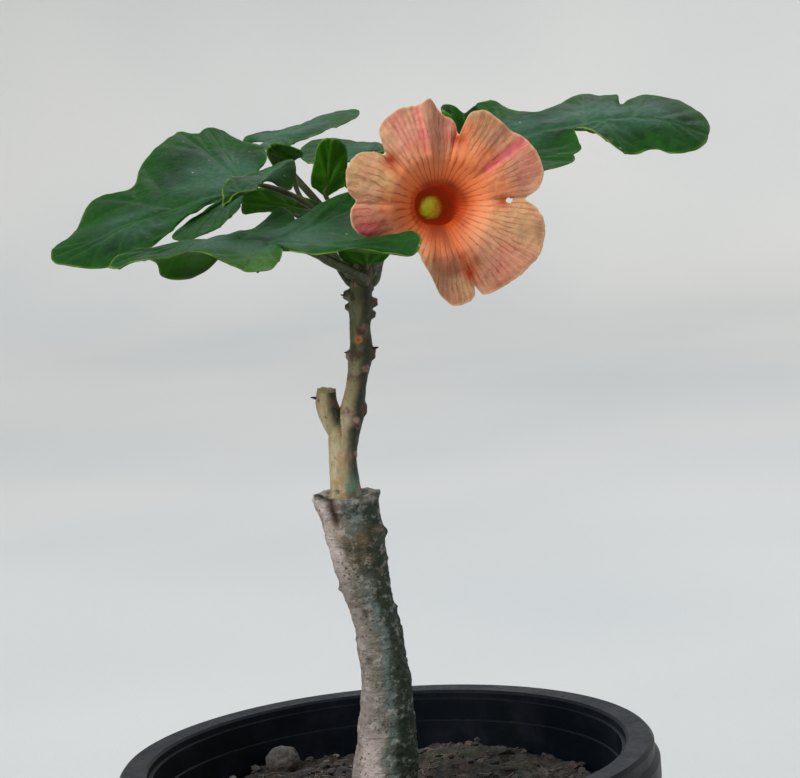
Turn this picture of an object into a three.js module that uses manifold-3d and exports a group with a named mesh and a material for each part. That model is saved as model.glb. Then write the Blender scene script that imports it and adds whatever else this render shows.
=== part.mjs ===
// Potted uncarina: a young shrub with a stem grafted on a thick rootstock, in a round nursery pot.
// Millimetres, +Z up. The origin is the middle of the pot's underside and the flower faces -Y.
import * as THREE from 'three';
import { mergeVertices } from 'three/addons/utils/BufferGeometryUtils.js';
import Module from 'manifold-3d';

const wasm = await Module();
wasm.setup();

// ---------------------------------------------------------------- driving sizes

/** Air kept between two pieces that touch. */
const GAP = 0.3;

const POT = {
  height: 160,
  baseRadius: 61,
  mouthRadius: 71.5,      // outside of the plain wall, just under the rim
  ringRadius: 81,         // outside of the flat top ring
  beadRadius: 82.5,       // outside of the bead below the ring
  ringWidth: 8.5,
  ringHeight: 5,
  beadHeight: 8,
  wall: 1.6,
  ledgeDepths: [2.5, 9],  // the two stacking ledges inside, below the top
  ledgeWidth: 0.9,
  holeCount: 6,
  holeRadius: 4.5,
  holeCircle: 48,
  segments: 40,
};

const SOIL = { level: 142, moundHeight: 5, roughness: 1.1, segments: 36 };

const PEBBLE = { centre: [-34, 51, 146.4], radii: [6, 4.6, 4.2], bed: 1.8 };

/** Centre line of the rootstock from the root's tip to the cut top: x, y, z, radius. */
const ROOTSTOCK = [
  [-6, 2, 62, 2], [-5, 1.5, 82, 6], [-3.5, 0.5, 105, 10], [-2.8, 0, 125, 12.4], [-2.2, 0, 140, 11.7],
  [-1, 0, 152, 10.1], [-0.4, 0, 156, 9.7], [0.8, 0, 165, 8.8], [1.5, 0, 174, 8.1], [1.8, 0, 182, 7.5],
  [1.3, 0, 191, 7.2], [0.9, 0, 198.5, 7], [-0.6, 0, 206, 6.7], [-1.8, 0, 211, 7.2], [-2.7, 0, 218, 7.8],
  [-3.6, 0, 227, 8.8], [-4.7, 0, 233.5, 9], [-5.6, 0, 238, 9.8], [-5.9, 0, 241, 9.2],
];

/** Centre line of the grafted stem, from its foot in the rootstock's cleft to the growing tip. */
const SCION = [
  [-5.2, -0.5, 230, 2.6], [-5.2, -0.5, 236, 4.2], [-5.3, -0.5, 241, 4.6], [-5.4, -0.3, 250.5, 4.1],
  [-4.4, 0, 258, 4.6], [-1.9, 0, 263.5, 3.9], [-0.6, 0, 268, 3.3], [0.8, 0, 274, 3], [2.2, 0, 280, 3.5],
  [2.9, 0, 284, 3.4], [3, 0, 289.5, 3.1], [3.7, 0, 295.5, 3.6], [4, 0, 299.5, 3.4], [5, 0, 304.5, 3],
  [5.4, 0, 308.5, 2.8], [5.5, 0, 311, 1.8],
];

/** Stub of a side branch that was cut off. */
const STUB = [[-4.6, 0, 256, 3], [-7.2, 0, 262, 3.4], [-8.8, 0, 267.5, 3.3], [-8.4, 0, 272, 2.7]];

/** Leaf scars and buds on the grafted stem: height, heading in degrees, rise. */
const STEM_BUDS = [
  [299, 180, 1.7], [297, 0, 1.5], [281, 185, 0.9], [282, 0, 1.1], [289, -80, 0.7], [266, 10, 0.9],
  [252, -30, 0.6], [274, -60, 0.6],
];

/**
 * Leaves. attach is where the stalk meets the blade. heading, pitch and bank turn the blade (degrees), and
 * bow lifts its midrib (mm). Each rib is [angle from the midrib, length, lift]; the lists run from the tip
 * round to the stalk on the right and on the left. slide says how fast the ribs' feet walk down the spine.
 */
const LEAVES = {
  leaf_left_large: {
    attach: [-27, 4, 334], heading: -163, pitch: -14, bank: -23, spine: 34, slide: [0.5, 1.5],
    bow: 1.5, curl: 1.7, halfColumns: 27,
    right: [[0, 28, 0], [-11, 28, 0], [-32, 26, -2], [-57, 30, -1], [-62, 24, 0], [-71, 34, 0],
      [-79, 42, 0], [-85, 48, -2], [-90, 43, -2], [-95, 46, -3], [-100, 43, -4], [-107, 33, -3],
      [-124, 23, -1], [-142, 11, 1]],
    left: [[0, 28, 0], [10, 29, 0], [24, 27, -1], [35, 26, -1], [42, 23, 0], [41, 16, 1], [30, 10, 1],
      [20, 8, 0], [26, 20, 2], [27, 30, 2], [30, 34, 2], [40, 34, 3], [47, 31, 3], [52, 27, 3],
      [57, 21, 3], [63, 14, 2]],
    stalk: { from: [142, 303], via: [[-4, 10, 312], [-9.5, 19, 320.5], [-18.5, 20.5, 326], [-24.5, 14, 331]],
      radius: 1.5 },
  },
  leaf_right_large: {
    attach: [40, 6, 339], heading: -5, pitch: -1, bank: 20, spine: 50, slide: [0.75, 2.5],
    bow: 7, curl: 1.7, halfColumns: 28,
    right: [[0, 20, 0], [-16, 20, 0], [-33, 19, 0], [-53, 18, 1], [-58, 14, 2], [-66, 16, 2],
      [-69, 17, 3], [-65, 14, 6], [-49, 9, 8], [-27, 11, 7], [-28, 22, 5], [-27, 33, 4], [-33, 36, 3],
      [-48, 33, 3], [-62, 29, 2], [-73, 21, 2]],
    left: [[0, 20, 0], [28, 23, 0], [48, 26, 0], [63, 28, 1], [76, 30, 1], [84, 29, 1], [88, 18, 4],
      [85, 27, 3], [89, 30, 2], [91, 32, 2], [94, 27, 2], [99, 18, 3], [101, 20, 3], [97, 26, 4],
      [87, 26, 4], [89, 19, 5], [99, 13, 6], [110, 20, 7], [127, 14, 9], [145, 6, 10]],
    stalk: { from: [38, 302.5], via: [[12, 14, 310], [23.5, 23, 317.5], [34, 21, 327], [38.5, 13, 335]],
      radius: 1.5 },
  },
  leaf_front: {
    attach: [-20, -30, 320], heading: -156, pitch: -1, bank: -8, spine: 24, slide: [0.62, 1],
    bow: 3, curl: 2.2, halfColumns: 30,
    right: [[0, 25, 0], [-10, 22, 2], [-20, 18, 1], [-64, 21, -6], [-76, 26, -12], [-88, 26, -14],
      [-101, 26, -12], [-112, 21, -5], [-122, 23, -1], [-129, 27, -1], [-132, 32, 4], [-138, 30, 3],
      [-144, 27, 1], [-146, 34, 4], [-148, 38, 5], [-151, 41, 6], [-156, 44, 4], [-175, 37, 0],
      [-205, 31, -2], [-225, 38, 1], [-226, 42, 5], [-229, 47, 4], [-233, 46, 0], [-238, 40, 1],
      [-245, 31, 2], [-257, 23, 0], [-268, 13, 0]],
    left: [[0, 25, 0], [8, 28, 0], [19, 27, 2], [29, 27, 3], [33, 26, 4], [37, 24, 3], [45, 27, 1],
      [52, 29, -1], [60, 30, -1], [67, 28, -1], [73, 23, 0], [80, 15, 1]],
    stalk: { from: [-85, 303.5], via: [[1.6, -9.5, 307.6], [-4, -15, 311.5], [-7, -20, 314.3], [-12, -26, 317.3]],
      radius: 1.6 },
  },
  leaf_back: {
    attach: [-22, 58, 343], heading: 43, pitch: 8, bank: 8, spine: 14, slide: [0.62, 1],
    bow: 1, curl: 1.7, halfColumns: 14,
    right: [[0, 27, 0], [-40, 15, 1], [-64, 14, 2], [-90, 15, 2], [-100, 15, 2], [-111, 15, 1],
      [-125, 14, 1], [-150, 8, 1]],
    left: [[0, 27, 0], [16, 36, -2], [24, 37, -4], [24, 30, -4], [33, 35, -5], [37, 35, -6],
      [46, 28, -4], [66, 21, -3], [87, 10, -3]],
    stalk: { from: [92, 301], via: [[2.5, 13, 310], [-2, 24, 319], [-8, 34, 326], [-17, 50, 336]], radius: 1.2 },
  },
  leaf_inner_left: {
    attach: [-22, -14, 336], heading: -132, pitch: -18, bank: -3, spine: 6, slide: [0.62, 1],
    bow: 1, curl: 1.7, halfColumns: 16,
    right: [[0, 11, 0], [-14, 9, 2], [-62, 7, 3], [-97, 9, 2], [-118, 11, 0], [-138, 13, -1],
      [-150, 17, -2], [-160, 24, -3], [-165, 22, -5], [-170, 17, -7], [-176, 12, -8], [-181, 7, -5]],
    left: [[0, 11, 0], [9, 13, 1], [12, 13, 2], [20, 12, 2], [34, 8, 1]],
    stalk: { from: [-155, 305.5], via: [[-0.6, -2.5, 315.5], [-7, 0.5, 325], [-15, -6, 331.5]], radius: 0.95 },
  },
  leaf_upright: {
    attach: [-4, 14, 328], heading: -56, pitch: 71, bank: -33, spine: 8, slide: [0.62, 1.5],
    bow: 0.5, curl: 1.7, halfColumns: 9,
    right: [[0, 10, 0], [-9, 12, 0], [-17, 13, 0], [-24, 11, 1], [-38, 8, 1], [-62, 5, 1]],
    left: [[0, 10, 0], [12, 12, 1], [22, 13, 2], [34, 10, 2], [58, 6, 1]],
    stalk: { from: [85, 307.5], via: [[4.5, 8, 313], [1, 12.5, 320]], radius: 0.95 },
  },
  leaf_inner_back: {
    attach: [0, 28, 337], heading: 28, pitch: 9, bank: 14, spine: 9, slide: [0.62, 1],
    bow: 1, curl: 1.7, halfColumns: 15,
    right: [[0, 8, 0], [-25, 10, 1], [-37, 10, 2], [-63, 8, 2], [-91, 7, 2]],
    left: [[0, 8, 0], [31, 15, -2], [47, 20, -3], [55, 22, -3], [63, 25, -2], [70, 25, -1],
      [79, 24, -1], [97, 18, 0], [121, 13, 1], [149, 9, 1], [166, 6, 1]],
    stalk: { from: [68, 304.7], via: [[7.6, 10.3, 314], [6, 19, 326], [-0.5, 25, 333]], radius: 0.95 },
  },
  leaf_inner_low: {
    attach: [-5, 8, 325], heading: 180, pitch: 10, bank: 31, spine: 10, slide: [0.62, 1.5],
    bow: 0.5, curl: 1.7, halfColumns: 10,
    right: [[0, 14, 0], [-19, 16, -1], [-28, 16, 1], [-34, 15, 2], [-44, 14, 2], [-60, 10, 2], [-82, 5, 1]],
    left: [[0, 14, 0], [17, 17, 0], [27, 16, 1], [33, 14, 1], [44, 10, 0], [64, 5, 0]],
    stalk: { from: [170, 307.8], via: [[-0.2, 3, 315.5], [-3, 7, 321]], radius: 0.9 },
  },
  leaf_small: {
    attach: [-13.5, 20, 339], heading: -138, pitch: 34, bank: 38, spine: 4, slide: [0.62, 1.5],
    bow: 0.5, curl: 1.7, halfColumns: 8,
    right: [[0, 6, 0], [-14, 6.5, 1], [-50, 6, 1.5], [-85, 6, 1.5], [-120, 5, 1]],
    left: [[0, 6, 0], [12, 7, 0], [35, 7, -1], [70, 6, -1], [100, 4, 0]],
    stalk: { from: [128, 306], via: [[0, 9.5, 314], [-5, 16, 320], [-11.5, 20, 327.5], [-13.4, 21, 334]],
      radius: 0.8 },
  },
  leaf_young: {
    attach: [6.4, -5.6, 308.8], heading: -88, pitch: 46, bank: 0, spine: 4, slide: [0.62, 1],
    bow: -0.6, curl: 1.5, halfColumns: 8,
    right: [[0, 7, 0], [-22, 9, 0.4], [-42, 11.5, 1], [-60, 9, 1], [-85, 5, 0.6]],
    left: [[0, 7, 0], [22, 9, 0.4], [42, 11.5, 1], [60, 9, 1], [85, 5, 0.6]],
    stalk: { from: [-86, 307.5], via: [], radius: 1.1 },
  },
};

const BLADE = { thickness: 0.8, rows: 4, tipRadius: 0.45 };

/**
 * The flower: a long tube that opens into five round lobes. stations runs from the closed end of the tube to
 * the mouth as [radius, distance behind the face of the flower]; rim is [degrees, reach, lift] round the lobes.
 */
const FLOWER = {
  face: [29.2, -35, 326.4],
  heel: [24.7, 6, 324.3],
  stations: [[0, 41], [3, 40.6], [3.7, 34], [5, 22], [6.3, 10.5], [8.5, 5]],
  shoulder: { radius: 15, depth: 0.8 },
  thickness: 0.8,
  columns: 72,
  limbRows: 4,
  rim: [
    [-0.5, 24.4, 0], [5, 28.4, 0.6], [14, 31, 1.2], [24, 31.4, 0.8], [35, 30.6, 0], [45, 29.4, -0.4],
    [59, 29.9, 0.4], [66, 28.2, 0.6], [70.3, 21, 0], [76, 24.8, 0.8], [84, 26.3, 0.6], [91, 30.7, 0.8],
    [99, 29.4, -0.4], [108, 30, 0], [119, 29.2, 0.6], [127, 25.4, 1], [132, 21.6, 0.2], [138, 25.8, 0.8],
    [149, 28.9, 1.4], [161, 27.9, 0.6], [172, 24.2, -0.4], [181, 26.1, 0.8], [192, 25, 0.6], [200, 21.8, -1.2],
    [212, 16.4, -1.6], [228, 14.2, -1.6], [240, 15, -2.4], [252, 18.2, -1.6], [264, 25, 0.2], [273, 28.5, 0.8],
    [284, 27.9, 0.6], [288.6, 24.6, 0], [293, 28.8, 0.4], [306, 29.3, 0.2], [319, 30.8, -0.6], [328, 31.6, 0],
    [340, 31, 0.6], [352, 27.8, 0.8],
  ],
};

const CALYX = { radius: 4.7, length: 7, teeth: 5, toothLength: 2.6, wall: 0.9, segments: 30 };
const PEDICEL = { from: [10, 307.5], via: [[11, 4.2, 311.6], [17.5, 7.5, 317]], radius: 1.1 };
const PISTIL = { from: 40.1, to: 8.5, radius: 0.7, headRadius: 3.2 };

// ---------------------------------------------------------------- colours

const MATERIALS = {
  pot: paint(0x1b1d20, 0.45),
  soil: paint(0x32261c, 0.95),
  pebble: paint(0x6d665e, 0.9),
  bark: paint(0x8f8472, 0.9),
  stem: paint(0x7b7d55, 0.7),
  leaf: paint(0x24552f, 0.5),
  youngLeaf: paint(0x2f6a1c, 0.5),
  calyx: paint(0x5a7a35, 0.6),
  corolla: paint(0xd8936a, 0.6),
  pistil: paint(0xa8a82a, 0.6),
};

function paint(color, roughness) {
  return new THREE.MeshStandardMaterial({ color, roughness, metalness: 0 });
}

// ---------------------------------------------------------------- small helpers

const UP = new THREE.Vector3(0, 0, 1);
const radians = THREE.MathUtils.degToRad;
const vector = ([x, y, z]) => new THREE.Vector3(x, y, z);

/** A smooth value at v (0 to 1) along a list of equally spaced numbers. */
function smoothAt(values, v) {
  const last = values.length - 1;
  const index = Math.min(Math.floor(v * last), last - 1);
  const u = v * last - index;
  const [a, b, c, d] = [-1, 0, 1, 2].map((k) => values[Math.min(Math.max(index + k, 0), last)]);
  return 0.5 * (2 * b + (c - a) * u + (2 * a - 5 * b + 4 * c - d) * u * u + (3 * b - a - 3 * c + d) * u ** 3);
}

/** A smooth point at v along a list of equally spaced tuples. */
function smoothTuple(tuples, v) {
  return tuples[0].map((_, k) => smoothAt(tuples.map((tuple) => tuple[k]), v));
}

/** Repeatable unevenness between about -1 and 1, from three crossing waves. */
function unevenness(x, y, z) {
  return (Math.sin(1.7 * x + 0.9 * z) + Math.sin(1.3 * y - 1.1 * x + 2) + Math.sin(0.8 * z + 1.9 * y + 4)) / 3;
}

/** The right-handed axes of a blade: x along its midrib, z out of its upper side. */
function bladeAxes({ heading, pitch, bank }) {
  const [h, p, b] = [heading, pitch, bank].map(radians);
  const x = new THREE.Vector3(Math.cos(h) * Math.cos(p), Math.sin(h) * Math.cos(p), Math.sin(p));
  const level = new THREE.Vector3().crossVectors(UP, x).normalize();
  const above = new THREE.Vector3().crossVectors(x, level);
  const y = level.multiplyScalar(Math.cos(b)).addScaledVector(above, Math.sin(b));
  return { x, y, z: new THREE.Vector3().crossVectors(x, y) };
}

// ---------------------------------------------------------------- closed meshes

/** Moves every vertex of a geometry and leaves only its merged positions. */
function moved(geometry, place) {
  const positions = geometry.attributes.position;
  const v = new THREE.Vector3();
  for (let i = 0; i < positions.count; i += 1) {
    const p = place(v.fromBufferAttribute(positions, i));
    positions.setXYZ(i, p.x, p.y, p.z);
  }
  geometry.deleteAttribute('normal');
  geometry.deleteAttribute('uv');
  return withoutSlivers(mergeVertices(geometry, 1e-3));
}

function withoutSlivers(geometry) {
  const index = geometry.index.array;
  const kept = [];
  for (let i = 0; i < index.length; i += 3) {
    const [a, b, c] = [index[i], index[i + 1], index[i + 2]];
    if (a !== b && b !== c && c !== a) kept.push(a, b, c);
  }
  geometry.setIndex(kept);
  return geometry;
}

function signedVolume(geometry) {
  const positions = geometry.attributes.position;
  const index = geometry.index.array;
  const corner = (i) => new THREE.Vector3().fromBufferAttribute(positions, index[i]);
  let volume = 0;
  for (let i = 0; i < index.length; i += 3) volume += corner(i).dot(corner(i + 1).cross(corner(i + 2))) / 6;
  return volume;
}

/** Turns the faces of a closed mesh outwards. */
function facingOut(geometry) {
  if (signedVolume(geometry) < 0) geometry.setIndex([...geometry.index.array].reverse());
  return geometry;
}

/** A closed sheet on both sides of an open surface, pushed out along its normals bent towards lean. */
function thickened(surface, thickness, lean = new THREE.Vector3()) {
  surface.computeVertexNormals();
  const { position, normal } = surface.attributes;
  const count = position.count;
  const index = surface.index.array;
  const points = [];
  for (const side of [0.5, -0.5]) {
    for (let i = 0; i < count; i += 1) {
      const push = new THREE.Vector3().fromBufferAttribute(normal, i).add(lean).setLength(side * thickness);
      const p = new THREE.Vector3().fromBufferAttribute(position, i).add(push);
      points.push(p.x, p.y, p.z);
    }
  }
  const edges = new Set();
  const faces = [];
  for (let i = 0; i < index.length; i += 3) {
    const [a, b, c] = [index[i], index[i + 1], index[i + 2]];
    faces.push(a, b, c, c + count, b + count, a + count);
    for (const [from, to] of [[a, b], [b, c], [c, a]]) edges.add(from * count + to);
  }
  for (const edge of edges) {
    const [from, to] = [Math.floor(edge / count), edge % count];
    if (!edges.has(to * count + from)) faces.push(to, from, from + count, to, from + count, to + count);
  }
  const sheet = new THREE.BufferGeometry();
  sheet.setAttribute('position', new THREE.Float32BufferAttribute(points, 3));
  sheet.setIndex(faces);
  return facingOut(sheet);
}

/** A closed round tube through stations of x, y, z, radius; relief adds to the radius at a point. */
function bentTube(stations, { sides = 10, steps = 16, relief = () => 0 } = {}) {
  const curve = new THREE.CatmullRomCurve3(stations.map(vector));
  const radii = stations.map((station) => station[3]);
  const chord = vector(stations[stations.length - 1]).sub(vector(stations[0]));
  const aside = chord.cross(UP).lengthSq() > 1e-6 ? chord.normalize() : new THREE.Vector3(0, 1, 0);
  const tube = new THREE.CylinderGeometry(1, 1, 1, sides, steps);
  return facingOut(moved(tube, (v) => {
    const t = THREE.MathUtils.clamp(v.y + 0.5, 0, 1);
    const tangent = curve.getTangent(t);
    const across = aside.clone().addScaledVector(tangent, -aside.dot(tangent)).normalize();
    const other = new THREE.Vector3().crossVectors(tangent, across);
    const reach = Math.hypot(v.x, v.z);
    const angle = Math.atan2(v.z, v.x);
    const outward = across.multiplyScalar(Math.cos(angle)).addScaledVector(other, Math.sin(angle));
    const centre = curve.getPoint(t);
    const radius = reach < 0.5 ? 0 : smoothAt(radii, t) + relief(centre, outward, t);
    return centre.addScaledVector(outward, radius);
  }));
}

/** A closed body turned about Z from a closed profile of [radius, height]. */
function turned(profile, segments, place = (v) => v) {
  const lathe = new THREE.LatheGeometry(profile.map(([r, h]) => new THREE.Vector2(r, h)), segments);
  return facingOut(moved(lathe, (v) => place(new THREE.Vector3(v.x, -v.z, v.y))));
}

// ---------------------------------------------------------------- joining and cutting

function toSolid(geometry) {
  return new wasm.Manifold(new wasm.Mesh({
    numProp: 3,
    vertProperties: new Float32Array(geometry.attributes.position.array),
    triVerts: new Uint32Array(geometry.index.array),
  }));
}

function toGeometry(solid) {
  const mesh = solid.getMesh();
  const geometry = new THREE.BufferGeometry();
  geometry.setAttribute('position', new THREE.BufferAttribute(mesh.vertProperties, 3));
  geometry.setIndex(new THREE.BufferAttribute(mesh.triVerts, 1));
  return geometry;
}

function joined(...geometries) {
  return toGeometry(geometries.map(toSolid).reduce((whole, solid) => whole.add(solid)));
}

function cut(geometry, ...tools) {
  return toGeometry(tools.map(toSolid).reduce((whole, tool) => whole.subtract(tool), toSolid(geometry)));
}

// ---------------------------------------------------------------- pot, soil and pebble

/** Outside radius of the pot's plain wall at a height. */
function potRadius(z) {
  return THREE.MathUtils.lerp(POT.baseRadius, POT.mouthRadius, z / POT.height);
}

function potGeometry() {
  const { height, wall, ringRadius, beadRadius, ringHeight, beadHeight, ledgeWidth } = POT;
  const innerEdge = ringRadius - POT.ringWidth;
  const beadTop = height - ringHeight;
  const beadFoot = beadTop - beadHeight;
  const [upperLedge, lowerLedge] = POT.ledgeDepths.map((depth) => height - depth);
  const profile = [
    [0, 0], [POT.baseRadius - 1, 0], [POT.baseRadius, 1],
    [potRadius(beadFoot), beadFoot], [potRadius(beadFoot) + 0.6, height - wall - 1],
    [ringRadius - wall - 0.8, height - wall - 1], [beadRadius - wall, beadTop - 2], [beadRadius - wall, beadFoot],
    [beadRadius - 0.5, beadFoot - 0.3], [beadRadius, beadFoot + 1], [beadRadius, beadTop - 1.4],
    [beadRadius - 0.7, beadTop - 0.5], [ringRadius, beadTop], [ringRadius, height - 1.2],
    [ringRadius - 1, height], [innerEdge + 0.8, height], [innerEdge, height - 0.7],
    [innerEdge - 0.2, upperLedge], [innerEdge - ledgeWidth, upperLedge - 0.4],
    [innerEdge - ledgeWidth - 0.4, lowerLedge], [innerEdge - 2 * ledgeWidth - 0.4, lowerLedge - 0.5],
    [potRadius(0) - wall, wall + 0.6], [potRadius(0) - wall - 0.8, wall], [0, wall],
  ];
  const holes = Array.from({ length: POT.holeCount }, (_, i) => {
    const angle = (2 * Math.PI * (i + 0.5)) / POT.holeCount;
    const [x, y] = [POT.holeCircle * Math.cos(angle), POT.holeCircle * Math.sin(angle)];
    return bentTube([[x, y, -2, POT.holeRadius], [x, y, 4, POT.holeRadius]], { sides: 10, steps: 1 });
  });
  return cut(turned(profile, POT.segments), ...holes);
}

/** Height of the soil at a place: low mounds at the trunk, the back right and the pebble, with small lumps. */
function soilHeight(x, y) {
  const [pebbleX, pebbleY] = PEBBLE.centre;
  const bed = PEBBLE.bed * Math.exp(-((x - pebbleX) ** 2 + (y - pebbleY) ** 2) / 150);
  const mound = SOIL.moundHeight * Math.exp(-(x * x + y * y) / 500);
  const backMound = SOIL.moundHeight * Math.exp(-((x - 22) ** 2 + (y - 42) ** 2) / 260);
  return SOIL.level + 0.6 * mound + backMound + bed + SOIL.roughness * unevenness(0.28 * x, 0.28 * y, 0);
}

function soilGeometry() {
  const reach = (z) => potRadius(z) - POT.wall - GAP - 1.2;
  const rings = 8;
  const top = Array.from({ length: rings + 1 }, (_, i) => [reach(SOIL.level) * (1 - i / rings), SOIL.level]);
  const floor = POT.wall + GAP;
  const profile = [[0, floor], [reach(floor) - 1, floor], [reach(floor) - 0.4, floor + 1], ...top];
  const body = turned(profile, SOIL.segments, (v) => {
    const onTop = v.z > SOIL.level - 1e-3;
    return onTop ? v.setZ(soilHeight(v.x, v.y)) : v;
  });
  return cut(body, rootstockGeometry(GAP), pebbleGeometry(GAP));
}

function pebbleGeometry(extra = 0) {
  const centre = vector(PEBBLE.centre);
  const [a, b, c] = PEBBLE.radii;
  return facingOut(moved(new THREE.SphereGeometry(1, 14, 9), (v) => {
    const lump = 1 + 0.07 * unevenness(2.2 * v.x, 2.6 * v.y, 2.4 * v.z);
    return v.set(v.x * (a * lump + extra), v.y * (b * lump + extra), v.z * (c * lump + extra)).add(centre);
  }));
}

// ---------------------------------------------------------------- rootstock and grafted stem

/** Knots and shallow flutes of the trunk, growing into a torn collar near the cut. */
function barkRelief(centre, outward) {
  const angle = Math.atan2(outward.y, outward.x);
  const collar = THREE.MathUtils.smoothstep(centre.z, 233, 240);
  const knots = unevenness(1.4 * outward.x + centre.z * 0.21, 1.6 * outward.y, centre.z * 0.17);
  const torn = collar * (0.55 * Math.sin(3 * angle + 0.6) + 0.45 * Math.sin(7 * angle + 1));
  return 0.35 * knots + torn;
}

function rootstockGeometry(extra = 0) {
  const stations = ROOTSTOCK.map(([x, y, z, radius], i) => [x, y, i === 0 ? z - extra : z, radius + extra]);
  return bentTube(stations, { sides: 16, steps: 29, relief: barkRelief });
}

/** The rootstock with the cleft that holds the grafted stem. */
function cleftRootstockGeometry() {
  return cut(rootstockGeometry(), scionStemGeometry(GAP));
}

/** Raised scars where old leaves stood. */
function budRelief(centre, outward) {
  return STEM_BUDS.reduce((sum, [height, heading, rise]) => {
    const facing = Math.cos(Math.atan2(outward.y, outward.x) - radians(heading));
    const near = Math.exp(-(((centre.z - height) / 1.5) ** 2));
    return sum + (facing > 0 ? rise * near * facing ** 4 : 0);
  }, 0);
}

function scionStemGeometry(extra = 0) {
  const stations = SCION.map(([x, y, z, radius], i) => [x, y, i === 0 ? z - extra : z, radius + extra]);
  return bentTube(stations, { sides: 12, steps: 36, relief: budRelief });
}

function scionGeometry() {
  const cutFace = (centre, outward, t) => (t > 0.95 ? 0.25 * Math.sin(3 * Math.atan2(outward.y, outward.x)) : 0);
  return joined(scionStemGeometry(), bentTube(STUB, { sides: 12, steps: 8, relief: cutFace }));
}

/** Centre and radius of the grafted stem at a height near its tip. */
function stemAt(z) {
  const above = SCION.findIndex((station) => station[2] >= z);
  const [low, high] = [SCION[above - 1], SCION[above]];
  const share = (z - low[2]) / (high[2] - low[2]);
  return { x: THREE.MathUtils.lerp(low[0], high[0], share), radius: Math.max(low[3], high[3]) };
}

/** The first stations of a stalk: it leaves the stem square to its bark, just clear of it. */
function stalkFoot([heading, z], radius) {
  const stem = stemAt(z);
  const out = [Math.cos(radians(heading)), Math.sin(radians(heading))];
  const start = stem.radius + 1.5 * GAP;
  return [start, start + 1.6].map((reach, i) => (
    [stem.x + reach * out[0], reach * out[1], z + 0.5 * i, radius * (1.2 - 0.2 * i)]
  ));
}

// ---------------------------------------------------------------- leaves

/** Where the foot of a rib lies on the midrib, for v from the tip (0) to the stalk (1). */
function ribFoot({ spine, slide: [reach, power] }, v) {
  return spine * (1 - Math.min(1, v / reach) ** power);
}

/** A point of the blade: side +1 is left of the midrib, v runs from tip to stalk, s from midrib to edge. */
function bladePoint(leaf, axes, side, v, s) {
  const [angle, length, lift] = smoothTuple(side > 0 ? leaf.left : leaf.right, v);
  const foot = ribFoot(leaf, v);
  const rise = s ** leaf.curl;
  const crest = leaf.bow * Math.sin((Math.PI / 2) * (foot / leaf.spine));
  return vector(leaf.attach)
    .addScaledVector(axes.x, foot + s * length * Math.cos(radians(angle)))
    .addScaledVector(axes.y, s * length * Math.sin(radians(angle)))
    .addScaledVector(axes.z, rise * lift + (1 - rise) * crest);
}

function bladeGeometry(leaf) {
  const axes = bladeAxes(leaf);
  const grid = new THREE.PlaneGeometry(2, 1, 2 * leaf.halfColumns, BLADE.rows);
  const surface = moved(grid, (p) => {
    const column = Math.round(Math.abs(p.x) * leaf.halfColumns) / leaf.halfColumns;
    const row = Math.round((p.y + 0.5) * BLADE.rows) / BLADE.rows;
    return bladePoint(leaf, axes, Math.sign(p.x), column, row);
  });
  return thickened(surface, BLADE.thickness, axes.z.negate());
}

/** The stalk, running on under the blade as its midrib. */
function stalkGeometry(leaf) {
  const axes = bladeAxes(leaf);
  const { from, via, radius } = leaf.stalk;
  const under = (share) => {
    const crest = leaf.bow * Math.sin((Math.PI / 2) * share);
    const point = vector(leaf.attach)
      .addScaledVector(axes.x, share * leaf.spine)
      .addScaledVector(axes.z, crest - 0.35);
    return point.toArray();
  };
  const thick = Math.max(radius * 0.7, BLADE.tipRadius);
  const stations = [
    ...stalkFoot(from, radius),
    ...via.map((point) => [...point, radius * 0.92]),
    [...under(0.03), thick], [...under(0.4), (thick + BLADE.tipRadius) / 2], [...under(0.85), BLADE.tipRadius],
  ];
  return bentTube(stations, { sides: 6, steps: 6 + 2 * via.length });
}

function leafGeometry(leaf) {
  return joined(bladeGeometry(leaf), stalkGeometry(leaf));
}

// ---------------------------------------------------------------- flower

/** Axes of the flower: z points out of its mouth, y up the face. */
function flowerAxes() {
  const face = vector(FLOWER.face);
  const z = face.clone().sub(vector(FLOWER.heel)).normalize();
  const x = new THREE.Vector3().crossVectors(UP, z).normalize();
  return { face, x, y: new THREE.Vector3().crossVectors(z, x), z };
}

/** A place in the flower's own frame as a point of the part. */
function inFlower({ face, x, y, z }, across, upward, outward) {
  return face.clone().addScaledVector(x, across).addScaledVector(y, upward).addScaledVector(z, outward);
}

/** Reach and lift of the flower's edge in a direction, smooth from point to point of the rim. */
function rimAt(degrees) {
  const { rim } = FLOWER;
  const count = rim.length;
  const start = rim[0][0];
  const wrapped = ((((degrees - start) % 360) + 360) % 360) + start;
  const next = rim.findIndex((entry) => entry[0] > wrapped);
  const index = next < 0 ? count - 1 : next - 1;
  const entry = (k) => rim[(index + k + count) % count];
  const from = entry(0)[0];
  const to = entry(1)[0] > from ? entry(1)[0] : entry(1)[0] + 360;
  const u = THREE.MathUtils.smootherstep((wrapped - from) / (to - from), 0, 1);
  return [1, 2].map((k) => THREE.MathUtils.lerp(entry(0)[k], entry(1)[k], u));
}

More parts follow.
